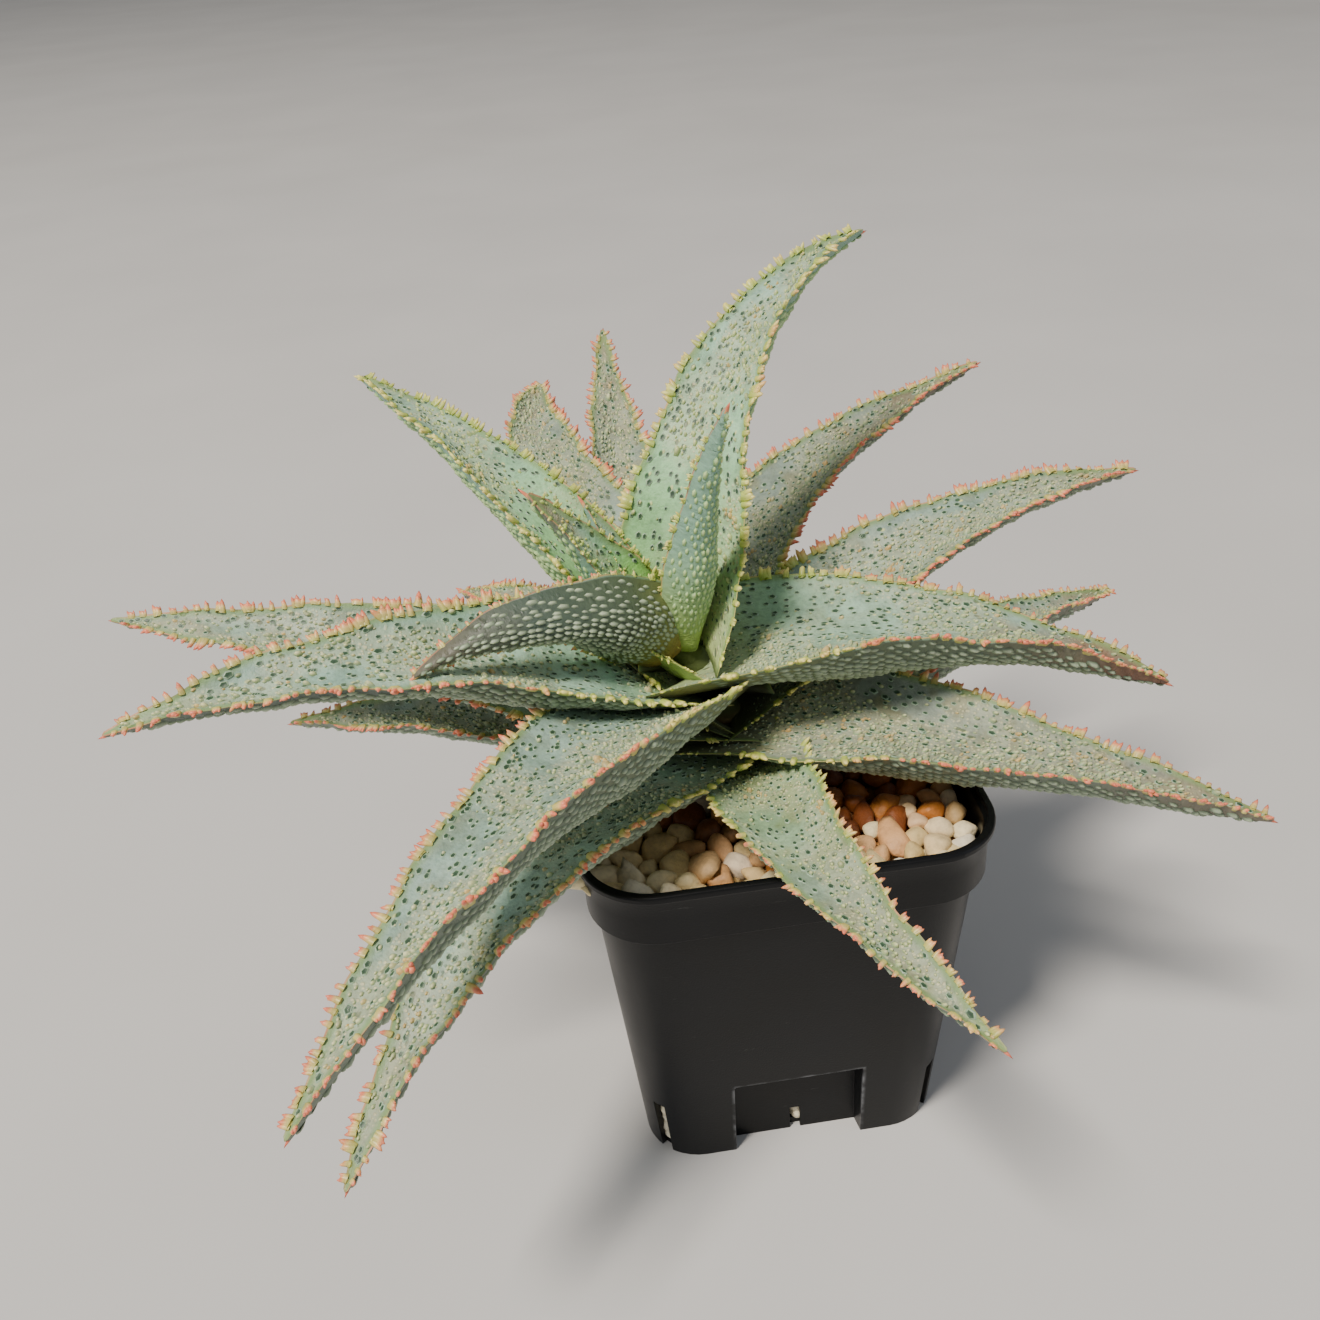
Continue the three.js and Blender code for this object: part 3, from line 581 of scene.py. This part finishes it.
def put_studs(forms, frames, size, rings, sides, slot, lean, **values):
    """Adds many small tapered bumps. size holds each one's length, width and height, rings the outline
    as (spread, rise, lift), and lean how far its top is drawn towards the leaf's tip."""
    point, ahead, leftward, out = frames
    long, wide, tall = size
    turn = np.arange(sides) * 2 * np.pi / sides
    layers = []
    lifts = []
    for spread, rise, lift in rings:
        around = turn if spread > 0 else turn[:1]
        step = long[:, None] * (spread * np.cos(around)) + (lean * tall * max(rise, 0))[:, None]
        cross = wide[:, None] * (spread * np.sin(around))
        forwards, sideways = ahead[:, None] * step[..., None], leftward[:, None] * cross[..., None]
        layers.append(point[:, None] + forwards + sideways + out[:, None] * (tall * rise)[:, None, None])
        lifts += [lift] * len(around)
    points = np.concatenate(layers, 1)
    template = []
    for ring in range(len(rings) - 1):
        for k in range(sides):
            a, b = ring * sides + k, ring * sides + (k + 1) % sides
            if rings[ring + 1][0] > 0:
                template.append((a, b, b + sides, a + sides))
            else:
                template.append((a, b, (ring + 1) * sides))
    per = points.shape[1]
    faces = [tuple(corner + n * per for corner in face) for n in range(len(point)) for face in template]
    spread_values = {name: np.repeat(value, per) for name, value in values.items()}
    forms.put(points, faces, slot, lift=np.tile(lifts, len(point)), **spread_values)


# Leaves

SKIN_SLOT, BUMP_SLOT, TOOTH_SLOT = 0, 1, 2
LEAF_EDGE = (1, 0.985, 0.95, 0.9)
PIT_RINGS = ((1.3, -0.3, 0.0), (1.0, 0.8, 0.3), (0.66, 0.62, 0.75), (0, 0.4, 1))
GRAIN_RINGS = ((1.2, -0.2, 0.0), (0.75, 0.6, 0.6), (0, 1, 1))
RIDGE_RINGS = ((1.25, -0.1, 0.2), (0.75, 0.62, 0.7), (0, 1, 1))
TOOTH_RINGS = ((1.2, -0.35, 0.0), (1.0, 0.2, 0.15), (0.6, 0.7, 0.65), (0, 1, 1))
BLOCK_RINGS = ((1.3, -0.4, 0.0), (1.05, 0.15, 0.12), (0.85, 0.85, 0.5), (0, 1.05, 0.6))
SPIKE_RINGS = ((1.0, -0.6, 0.1), (0.9, 0.1, 0.3), (0.6, 0.6, 0.7), (0, 1, 1))
RAYS = [Vector(ray).normalized() for ray in ((0.21, 0.13, 0.97), (-0.87, 0.31, -0.38), (0.42, -0.8, 0.43))]

# Shares of a leaf's length: where its skin closes to a point, and where bumps and teeth end
SKIN_END = 0.996
BUMPS_END = 0.985
# How far out on the half width the teeth stand, how near to the kept skin a bump must be, and how far
# inside its edge the outermost bumps stay, in mm
TEETH_ACROSS = 0.985
NEAR_SKIN = 0.5
EDGE_ROOM = 0.7


def leaf_grid(leaf):
    """Shares along and across a leaf for its skin: closer near the margins and the tip."""
    rows = max(int(leaf.length / 1.7), 16)
    t = 1 - (1 - np.linspace(0, 1, rows)) ** 1.08
    t[-1] = SKIN_END
    middle = np.linspace(0.8, -0.8, 15)
    top = np.concatenate([LEAF_EDGE, middle, [-edge for edge in reversed(LEAF_EDGE)]])
    belly = np.linspace(-0.96, 0.96, 21)
    across = np.concatenate([top, belly])
    under = np.concatenate([np.zeros(len(top)), np.ones(len(belly))])
    return t, across, under


def put_skin(forms, leaf):
    """The skin, without what lies inside the leaves further in."""
    t, across, under = leaf_grid(leaf)
    rows, size = len(t), len(across)
    grid_t, grid_across = np.meshgrid(t, across, indexing="ij")
    grid_under = np.broadcast_to(under, grid_t.shape)
    points = skin_point(leaf, grid_t, grid_across, grid_under).reshape(-1, 3)
    tip = skin_point(leaf, np.array([1.0]), np.array([0.0]), np.array([0.0]))
    points = np.vstack([points, tip])
    faces = tube_faces(rows, size)
    last = (rows - 1) * size
    faces += [(last + k, last + (k + 1) % size, rows * size) for k in range(size)]
    faces.append(tuple(range(size))[::-1])
    leaf.solid = BVHTree.FromPolygons([Vector(point) for point in points], faces)
    leaf.low, leaf.high = points.min(0), points.max(0)

    hidden = is_inside(points, leaf.inner_leaves)
    kept = [face for face in faces if not all(hidden[corner] for corner in face)]
    kept = joined_to(kept, len(points) - 1, len(points))
    leaf.skin = BVHTree.FromPolygons([Vector(point) for point in points], kept)
    along = np.append(grid_t.reshape(-1), 1)
    sideways = np.append(grid_across.reshape(-1), 0)
    # How far each point is from the nearer margin, over the skin
    rings = points[:-1].reshape(rows, size, 3)
    steps = np.linalg.norm(np.roll(rings, -1, 1) - rings, axis=-1)
    walked = np.cumsum(steps, 1) - steps
    right = walked[:, len(across) - int(under.sum()) - 1][:, None]
    margin = np.minimum.reduce([walked, np.abs(walked - right), steps.sum(1)[:, None] - walked])
    forms.put(points, kept, SKIN_SLOT, along=along, under=np.append(grid_under.reshape(-1), 0),
              margin=np.append(margin.reshape(-1), 0), lift=0, pale=crowding(leaf, along, sideways),
              young=leaf.young, grey=leaf.grey, burnt=leaf.burnt, leaf=leaf.order,
              along_mm=along * leaf.length, across_mm=sideways * half_width(leaf, along))


def crossings(solid, point, direction):
    """How many times a ray from a point meets a solid's surface."""
    count = 0
    start = point
    while count < 40:
        place, _, _, _ = solid.ray_cast(start, direction)
        if place is None:
            return count
        count += 1
        start = place + 1e-4 * direction
    return count


def is_inside(points, leaves):
    """Which points lie inside any of these leaves: rays from there cross the skin an odd number of times."""
    inside = np.zeros(len(points), bool)
    for other in leaves:
        near = np.all((points > other.low) & (points < other.high), 1) & ~inside
        for k in np.nonzero(near)[0]:
            point = Vector(points[k])
            inside[k] = sum(crossings(other.solid, point, ray) % 2 for ray in RAYS) > 1
    return inside


def joined_to(faces, seed, count):
    """The faces that hang together with one point."""
    owner = list(range(count))

    def root(k):
        while owner[k] != k:
            owner[k] = owner[owner[k]]
            k = owner[k]
        return k

    for face in faces:
        for corner in face[1:]:
            owner[root(corner)] = root(face[0])
    return [face for face in faces if root(face[0]) == root(seed)]


def scatter(leaf, under, pitch_along, pitch_across, first, loose):
    """Staggered places on one side of a leaf, more or less loose: shares along and across it."""
    rows = np.arange(first * leaf.length, leaf.length * BUMPS_END, pitch_along)
    places = []
    for order, along in enumerate(rows):
        half = float(half_width(leaf, np.array(along / leaf.length)))
        reach = half * (1.12 if under else 1.0) - EDGE_ROOM
        if reach <= 0:
            continue
        count = max(int(2 * reach / pitch_across), 1)
        across = -reach + (np.arange(count + 1) + 0.5 * (order % 2)) * 2 * reach / count
        along_here = along + leaf.random.normal(0, loose * pitch_along, count + 1)
        across_here = across + leaf.random.normal(0, loose * pitch_across, count + 1)
        inside = np.abs(across_here) < reach
        places.append(np.stack([along_here / leaf.length, across_here / (reach + EDGE_ROOM)], 1)[inside])
    return np.clip(np.vstack(places), -0.97, BUMPS_END)


def crowding(leaf, t, across):
    """How crowded the grains are: 0 on the bare patches, 1 where they run together, outwards and on the
    sunnier side."""
    along = t * leaf.length
    a, b, c, _ = leaf.phases[2:]
    azimuth = math.radians(leaf.azimuth)
    sunny = -0.35 * across * (0.6 * math.sin(azimuth) + 0.8 * math.cos(azimuth))
    field = np.sin(along / 9 + a + 2.2 * across) + np.sin(along / 4.3 + b - 2.9 * across) * 0.6
    field = field + 0.7 * np.sin(2.6 * across + c)
    outer = 0.3 * np.clip((t - 0.35) / 0.4, 0, 1)
    return np.clip(0.36 + 0.3 * field + sunny + outer + 0.25 * (1 - np.abs(across)) + 0.3 * leaf.grey, 0, 1)


def is_clear(leaf, points, outside):
    """Which bumps or teeth stand on the part of the skin that was kept, and outside the other leaves."""
    on_skin = [leaf.skin.find_nearest(Vector(point), NEAR_SKIN)[0] is not None for point in points]
    return np.array(on_skin, bool) & ~is_inside(outside, leaf.inner_leaves)


def leaf_marks(leaf, t, across, **values):
    """The values stored with each bump or tooth at these shares along and across a leaf."""
    common = {"young": leaf.young, "grey": leaf.grey, "leaf": leaf.order, "under": 0, "margin": 0, "pale": 0,
              "along_mm": t * leaf.length, "across_mm": across * half_width(leaf, t)}
    return {"along": t} | {name: 0 * t + value for name, value in (common | values).items()}


def put_bumps(forms, leaf, under, places, rings, size, pale, lean):
    """Bumps at these places. size holds each one's length, width and height."""
    t, across = places[:, 0], places[:, 1]
    frames = skin_frame(leaf, t, across, np.full(len(t), float(under)))
    clear = is_clear(leaf, frames[0], frames[0] + 0.5 * frames[3])
    t, across = t[clear], across[clear]
    margin = half_width(leaf, t) * (1 - np.abs(across))
    put_studs(forms, [part[clear] for part in frames], [part[clear] for part in size], rings, 5, BUMP_SLOT,
              lean, **leaf_marks(leaf, t, across, under=under, margin=margin, pale=pale[clear]))


def put_pits_and_grains(forms, leaf, small):
    """On the upper side: dark pits with a raised edge, about 1.4 mm long, and pale grains, about 1 mm
    long, that crowd in patches."""
    random = leaf.random
    places = scatter(leaf, 0, 2.4, 2.0, 0.04, 0.32)
    crowd = crowding(leaf, places[:, 0], places[:, 1])
    places = places[random.uniform(size=len(places)) < 0.85 - 0.3 * crowd]
    scale = random.lognormal(0, 0.16, len(places)) * small * np.clip(places[:, 0] / 0.12, 0.4, 1)
    put_bumps(forms, leaf, 0, places, PIT_RINGS, (0.66 * scale, 0.44 * scale, 0.24 * scale), 0 * scale, 0)
    places = scatter(leaf, 0, 1.35, 1.2, 0.05, 0.36)
    crowd = crowding(leaf, places[:, 0], places[:, 1])
    places = places[random.uniform(size=len(places)) < 0.04 + 0.85 * crowd ** 2]
    scale = random.lognormal(0, 0.28, len(places)) * small * np.clip(places[:, 0] / 0.12, 0.4, 1)
    put_bumps(forms, leaf, 0, places, GRAIN_RINGS, (0.44 * scale, 0.3 * scale, 0.54 * scale),
              random.uniform(0.55, 1, len(places)), 0.6)


def put_ridges(forms, leaf, small):
    """On the lower side: ridges about 2.5 mm long in close rows, drawn out towards the tip."""
    random = leaf.random
    places = scatter(leaf, 1, 1.8, 1.25, 0.1, 0.12)
    scale = random.lognormal(0, 0.16, len(places)) * small
    fade = np.clip((places[:, 0] - 0.07) / 0.15, 0.3, 1)
    put_bumps(forms, leaf, 1, places, RIDGE_RINGS, (0.95 * scale, 0.46 * scale, 0.58 * scale * fade),
              random.uniform(0, 1, len(places)), 0.9)


def put_teeth(forms, leaf, margin):
    """Along one margin, 1 on the left or -1 on the right: teeth in crowns of one to three that lean to
    the tip, each crown on a horny block."""
    random = leaf.random
    rows = []
    along = 0.03 * leaf.length
    while along < leaf.length * BUMPS_END:
        crown = random.choice([1, 2, 3], p=[0.45, 0.35, 0.2])
        tall = random.uniform(0.6, 1.25)
        for k in range(crown):
            aside = k - (crown - 1) / 2
            spread = 0.35 * aside + random.normal(0, 0.15)
            rows.append((along + 0.85 * aside, spread, tall * random.uniform(0.7, 1.05), 1))
        rows.append((along, 0, 0.62 * tall, (0.9 + 0.55 * crown) / tall))
        along += (1.5 + 0.75 * crown) * random.uniform(0.8, 1.3)
    places, spread, scale, width = np.array(rows).T
    t = np.clip(places / leaf.length, 0, BUMPS_END)
    edge = np.full(len(t), TEETH_ACROSS * margin)
    point, ahead, leftward, out = skin_frame(leaf, t, edge, np.zeros(len(t)))
    clear = is_clear(leaf, point, point + margin * leftward)
    t, edge, point, ahead, leftward, out, spread, scale, width = (
        part[clear] for part in (t, edge, point, ahead, leftward, out, spread, scale, width)
    )
    tilt = 0.2 * out * random.normal(0.3, 1, (len(t), 1))
    outwards = unit(margin * leftward + spread[:, None] * ahead + tilt)
    lengthways = unit(ahead - outwards * np.sum(ahead * outwards, -1, keepdims=True))
    frames = (point, lengthways, unit(np.cross(outwards, ahead)), outwards)
    scale = scale * np.clip(leaf.width / 28, 0.7, 1) ** 1.5 * (1 - 0.25 * t) * np.clip(t / 0.1, 0.5, 1)
    for rings, some, thick in ((TOOTH_RINGS, width == 1, 0.6), (BLOCK_RINGS, width != 1, 1.0)):
        size = (0.8 * (scale * width)[some], thick * scale[some], 2.6 * scale[some])
        put_studs(forms, [part[some] for part in frames], size, rings, 6, TOOTH_SLOT, 0.25,
                  **leaf_marks(leaf, t[some], edge[some]))


def put_spike(forms, leaf):
    """The sharp point at the leaf's tip."""
    t, middle = np.array([BUMPS_END]), np.zeros(1)
    point, ahead, leftward, out = skin_frame(leaf, t, middle, middle)
    point = point - out * 0.5 * thickness(leaf, t)[..., None]
    size = (np.array([0.5]), np.array([0.5]), np.array([3.0]))
    put_studs(forms, (point, leftward, out, ahead), size, SPIKE_RINGS, 8, TOOTH_SLOT, 0.0,
              **leaf_marks(leaf, t, middle, young=0, grey=0))


def make_leaf(order, leaf, inner_leaves):
    """One leaf. order counts from the heart outwards, and inner_leaves are those made before it."""
    leaf.order = order
    leaf.inner_leaves = inner_leaves
    forms = Forms()
    put_skin(forms, leaf)
    small = np.clip(0.6 + 0.5 * leaf.width / 30, 0, 1.1)
    put_pits_and_grains(forms, leaf, small)
    put_ridges(forms, leaf, small)
    put_teeth(forms, leaf, 1)
    put_teeth(forms, leaf, -1)
    put_spike(forms, leaf)

    name = f"leaf_{order:02d}"
    piece = forms.build(f"aloe_{name}", (leaf_skin, leaf_bumps, leaf_teeth))
    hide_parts(name)


# Pot, in millimetres

POT_HEIGHT = 91
BASE_HALF = 35.5
BAND_HALF = 42
BASE_CORNER = 13
RIM_CORNER = 16
WALL = 1.5
BAND_FOOT = 76
BAND_FOLD = 77.4
RIM_BEND = 90.8
BAY_FACE = 31.5
BAY_SHOULDER = 23.4
BAY_TOP = 24
BAY_SIDE = 14.7
BAY_EDGE = 15.3
SLIT_HALF = 1.25
SLIT_TOP = 7
SLOT_TOP = 17
PLATE = (0.05, 2)

# Heights and half widths of the band and the rim
BAND_PROFILE = [
    (76.2, 42.2), (76.9, 43.2), (BAND_FOLD, 43.8), (88.2, 44), (88.8, 44.2), (89.4, 45), (90.4, 45),
    (RIM_BEND, 44.8), (POT_HEIGHT, 44.4),
]
POT_ROWS = [0, 0.4, 3, SLIT_TOP, 12, SLOT_TOP, 20, BAY_SHOULDER, BAY_TOP, 28, 36, 46, 56, 66, 75.6, BAND_FOOT]
POT_ROWS += [76.2, 76.9, BAND_FOLD, 80, 84, 88.2, 88.8, 89.4, 90.4, RIM_BEND, POT_HEIGHT]

# Places round the pot: distances along a wall, marked where a bay or its slit starts, then corner angles.
# A slot takes the two faces that meet at 45 degrees.
WALL_PLACES = [
    (-1, "end"), (-20, "wall"), (-BAY_EDGE, "edge"), (-BAY_SIDE, "bay"), (-9, "bay"), (-SLIT_HALF, "slit"),
    (SLIT_HALF, "slit_end"), (9, "bay"), (BAY_SIDE, "bay"), (BAY_EDGE, "edge"), (20, "wall"), (1, "end"),
]
CORNER_ANGLES = [9, 18, 27, 33, 38.4, 45, 51.6, 57, 63, 72, 81]
SLIT_PLACE = [kind for _, kind in WALL_PLACES].index("slit")
SLOT_PLACE = len(WALL_PLACES) + CORNER_ANGLES.index(38.4)


def pot_half(z):
    """Half the pot's width outside, at height z."""
    if z <= BAND_FOOT:
        return BASE_HALF + (BAND_HALF - BASE_HALF) * z / BAND_FOOT
    return float(np.interp(z, *zip(*BAND_PROFILE)))


def pot_corner(z):
    """The radius of the pot's corners outside, at height z."""
    return BASE_CORNER + (RIM_CORNER - BASE_CORNER) * z / POT_HEIGHT


def pot_ring(z, depth):
    """A ring of points round the pot at height z, a distance depth in from its outside."""
    half, corner = pot_half(z) - depth, pot_corner(z) - depth
    flat = half - corner
    in_bay = z <= BAY_SHOULDER
    level = z + depth if 20 < z <= BAY_TOP else z
    ring = []
    for quarter in range(4):
        turn = quarter * math.pi / 2
        cosine, sine = math.cos(turn), math.sin(turn)
        wall = []
        for place, kind in WALL_PLACES:
            across = place * flat if kind == "end" else place
            if abs(place) in (BAY_SIDE, BAY_EDGE):
                across += math.copysign(depth, place)
            face = BAY_FACE - depth if in_bay and kind in ("bay", "slit", "slit_end") else half
            wall.append((across, -face))
        for angle in CORNER_ANGLES:
            bend = math.radians(angle) - math.pi / 2
            wall.append((flat + corner * math.cos(bend), -flat + corner * math.sin(bend)))
        ring += [(x * cosine - y * sine, x * sine + y * cosine, level) for x, y in wall]
    return ring


def pot_wear():
    """How rubbed each point of the outer wall is: much round the bays, less on the band and the rim."""
    worn = []
    for z in POT_ROWS:
        folded = 0.4 * (z in (BAND_FOLD, RIM_BEND))
        quarter = []
        for place, kind in WALL_PLACES:
            beside_bay = z <= BAY_TOP and abs(place) == BAY_EDGE
            over_bay = z == BAY_TOP and kind not in ("end", "wall")
            quarter.append(float(max(folded, beside_bay, over_bay)))
        worn += 4 * (quarter + [folded] * len(CORNER_ANGLES))
    return worn


def make_pot():
    """The outer and inner wall, joined along the rim and round each slit and slot, and the base plate."""
    outside = [pot_ring(z, 0) for z in POT_ROWS]
    inside = [pot_ring(z, WALL) for z in POT_ROWS[:-1]] + [pot_ring(POT_ROWS[-1], WALL - 0.5)]
    size, rows = len(outside[0]), len(POT_ROWS)
    opening_tops = {SLIT_PLACE: SLIT_TOP, SLOT_PLACE: SLOT_TOP, SLOT_PLACE + 1: SLOT_TOP}

    def is_wall(face):
        row, k = divmod(face[0], size)
        return POT_ROWS[row] >= opening_tops.get(k % (size // 4), 0)

    faces = [face for face in tube_faces(rows, size) if is_wall(face)]
    edges = dict.fromkeys((face[k], face[(k + 1) % 4]) for face in faces for k in range(4))
    total = rows * size
    inner_faces = [tuple(corner + total for corner in reversed(face)) for face in faces]
    joining_faces = [(b, a, a + total, b + total) for a, b in edges if (b, a) not in edges]
    forms = Forms()
    worn = pot_wear()
    forms.put([point for ring in outside + inside for point in ring], faces + inner_faces + joining_faces, 0,
              worn=worn + [0] * total)
    plate = [(x, y, z) for x, y, _ in pot_ring(0, WALL - 0.1) for z in PLATE]
    plate_faces = [(2 * k, 2 * ((k + 1) % size), 2 * ((k + 1) % size) + 1, 2 * k + 1) for k in range(size)]
    plate_faces += [tuple(2 * k for k in range(size))[::-1], tuple(2 * k + 1 for k in range(size))]
    forms.put(plate, plate_faces, 0)
    piece = forms.build("nursery_pot", (black_plastic,))
    soften = piece.modifiers.new("softened edges", "BEVEL")
    soften.width = 0.35 * MM
    soften.segments = 2
    soften.limit_method = "ANGLE"
    soften.angle_limit = math.radians(32)
    soften.harden_normals = True
    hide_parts("pot")


# Pebbles and potting mix, in millimetres

MOUTH_STRAIGHT = 28.5
STEM_ROOM = 6.6
TOP_LEVEL = 83.6
UNDER_LEVEL = 79.4
SLOT_PEBBLES = (2.8, 6.3, 9.8, 13.3, 16.4)
SLIT_PEBBLES = (2.9, 5.8)
SLIT_REACH = 28.7
# Pebbles below this height are those at the pot's foot
FOOT_END = 40


def packed_places(count, smallest, largest, room, random):
    """Spots for pebbles in the mouth of the pot, pushed apart until they hardly overlap."""
    room_corner = room - MOUTH_STRAIGHT
    places = random.uniform(-room, room, (count, 2))
    radii = random.uniform(smallest, largest, count)
    for _ in range(140):
        gap = places[:, None] - places[None]
        distance = np.maximum(np.linalg.norm(gap, axis=-1), 1e-6)
        overlap = np.clip(radii[:, None] + radii[None] - distance, 0, None)
        np.fill_diagonal(overlap, 0)
        places = places + 0.32 * (gap / distance[..., None] * overlap[..., None]).sum(1)
        away = places - STEM_ROOT[:2]
        reach = np.linalg.norm(away, axis=1)
        push = np.clip(STEM_ROOM + radii * 0.8 - reach, 0, None)
        places += away / np.maximum(reach, 1e-6)[:, None] * push[:, None]
        limit = room - radii
        places = np.clip(places, -limit[:, None], limit[:, None])
        corner = np.maximum(np.abs(places) - (room - room_corner), 0)
        out = np.linalg.norm(corner, axis=1)
        back = np.clip(out - (room_corner - radii), 0, None) / np.maximum(out, 1e-6)
        places -= np.sign(places) * corner * back[:, None]
    return places, radii


def unit_ball(detail):
    """Points and faces of a ball with a radius of 1."""
    mesh = bmesh.new()
    bmesh.ops.create_icosphere(mesh, subdivisions=detail, radius=1)
    points = np.array([vertex.co for vertex in mesh.verts])
    faces = [tuple(vertex.index for vertex in face.verts) for face in mesh.faces]
    mesh.free()
    return points, faces


def pebble_points(ball, radius, random):
    """A tumbled stone: a ball cut by rounded flats, a little longer than it is tall."""
    flats = unit(random.normal(size=(16, 3)))
    reach = random.uniform(0.72, 1.08, 16)
    press = np.maximum(ball @ flats.T / reach, 0) ** 8
    shape = ball / (press.sum(1) ** (1 / 8) + 0.12)[:, None]
    shape *= radius * np.array([random.uniform(*span) for span in ((1.0, 1.2), (0.88, 1.05), (0.72, 0.95))])
    turn, tilt = random.uniform(0, 6.28), random.normal() * 0.3
    spin = Matrix.Rotation(turn, 3, "Z") @ Matrix.Rotation(tilt, 3, "X")
    return shape @ np.array(spin).T


def make_pebbles():
    """A top layer of pebbles, rougher ones under it, and those that show in the slots and slits."""
    random = np.random.default_rng(31)
    ball, faces = unit_ball(3)
    forms = Forms()
    spots = []
    places, radii = packed_places(215, 2.3, 3.9, 42, random)
    for (x, y), radius in zip(places, radii):
        spots.append((x, y, TOP_LEVEL + random.normal() * 0.5 - 0.25 * (radius - 3), radius * 1.08))
    under_ball, under_faces = unit_ball(2)
    places, radii = packed_places(180, 2.6, 4.0, 39.5, random)
    deep = []
    for (x, y), radius in zip(places, radii):
        deep.append((x, y, UNDER_LEVEL + random.normal() * 0.5, radius * 1.12))
    for quarter in range(4):
        turn = quarter * math.pi / 2
        diagonal = turn + math.pi / 4
        for z in SLOT_PEBBLES:
            reach = 41.6 + 0.07 * z
            deep.append((reach * math.cos(diagonal), reach * math.sin(diagonal), z, 3.0))
        for z in SLIT_PEBBLES:
            deep.append((SLIT_REACH * math.cos(turn + 0.02), SLIT_REACH * math.sin(turn + 0.02), z, 2.5))
    for group, shape, shape_faces in ((spots, ball, faces), (deep, under_ball, under_faces)):
        for x, y, z, radius in group:
            # Damp near the stem, dry towards the rim; that orange-brown is also painted shade under the
            # leaves
            near = math.hypot(x - 9, y - 1)
            damp = np.clip((39 - near) / 11 + random.normal() * 0.5, 0, 1) if z > FOOT_END else 0
            points = pebble_points(shape, radius, random) + (x, y, z)
            tone = random.uniform(0 if z > FOOT_END else 0.85, 1)
            forms.put(points, shape_faces, 0, tone=tone, damp=damp)
    piece = forms.build("pebbles", (pumice,))
    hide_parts("gravel")


def make_potting_mix():
    """The mix that fills the pot, seen in the gaps between pebbles."""
    heights = [2.4, 14, 26, 40, 60, 78]
    rings = [[(x, y, z) for x, y, _ in pot_ring(z, WALL + 0.8)] for z in heights]
    forms = Forms()
    forms.put([point for ring in rings for point in ring], closed_tube(len(heights), len(rings[0])), 0)
    piece = forms.build("potting_mix", (potting_mix,))


# Stem, in millimetres

STEM_FOOT = 62
STEM_TOP = 122
STEM_SIDES = 40


def make_stem():
    """A short leaning stem with the scars of old leaves round it."""
    heights = np.linspace(STEM_FOOT, STEM_TOP, 61)
    random = np.random.default_rng(5)
    turn = np.arange(STEM_SIDES) * 2 * np.pi / STEM_SIDES
    rings = []
    for z in heights:
        radius = 7 - 2.5 * (z - 60) / 62
        scar = 0.5 * abs(math.sin(z * 0.9)) + 0.25 * np.sin(3 * turn + z * 0.7)
        scar = scar + 0.12 * random.normal(size=STEM_SIDES)
        centre_x = STEM_ROOT[0] + STEM_LEAN * max(z - STEM_ROOT[2], 0)
        reach = radius - 0.5 + scar
        x, y = centre_x + reach * np.cos(turn), STEM_ROOT[1] + reach * np.sin(turn)
        rings.append(np.stack([x, y, 0 * turn + z], 1))
    forms = Forms()
    forms.put(np.vstack(rings), closed_tube(len(heights), STEM_SIDES), 0)
    piece = forms.build("short_stem", (corky_stem,))
    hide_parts("stem")


# Assembly

make_pot()
make_pebbles()
make_potting_mix()
make_stem()
leaves = [lay_out(row) for row in LEAF_ROWS]
for order, leaf in enumerate(leaves):
    make_leaf(order + 1, leaf, leaves[:order])


# Floor, lights and world

FLOOR_REACH = 30
AIM = (0, 0, 0.1)

floor_corners = [(x * FLOOR_REACH, y * FLOOR_REACH, 0) for x, y in ((-1, -1), (1, -1), (1, 1), (-1, 1))]
floor_mesh = bpy.data.meshes.new("floor")
floor_mesh.from_pydata(floor_corners, [], [(0, 1, 2, 3)])
floor_mesh.materials.append(pale_board)
floor = bpy.data.objects.new("floor", floor_mesh)
bpy.context.scene.collection.objects.link(floor)


def soft_light(name, place, size, power, colour):
    """A round area light that faces the plant."""
    data = bpy.data.lights.new(name, "AREA")
    data.shape = "DISK"
    data.size = size
    data.energy = power
    data.color = linear(colour)[:3]
    light = bpy.data.objects.new(name, data)
    light.location = place
    light.rotation_euler = (Vector(AIM) - Vector(place)).to_track_quat("-Z", "Y").to_euler()
    bpy.context.scene.collection.objects.link(light)


soft_light("key", place=(-1.5, -1.4, 3.6), size=0.9, power=240, colour="#FFF5E8")
soft_light("window", place=(-1.5, -0.8, 0.5), size=0.8, power=5, colour="#EAF1FF")
soft_light("fill", place=(1.3, -0.6, 0.9), size=1.2, power=4, colour="#EAF1FF")

world = bpy.data.worlds.new("studio")
world.use_nodes = True
background = world.node_tree.nodes["Background"]
background.inputs["Color"].default_value = linear("#E9EBEE")
background.inputs["Strength"].default_value = 0.28
bpy.context.scene.world = world
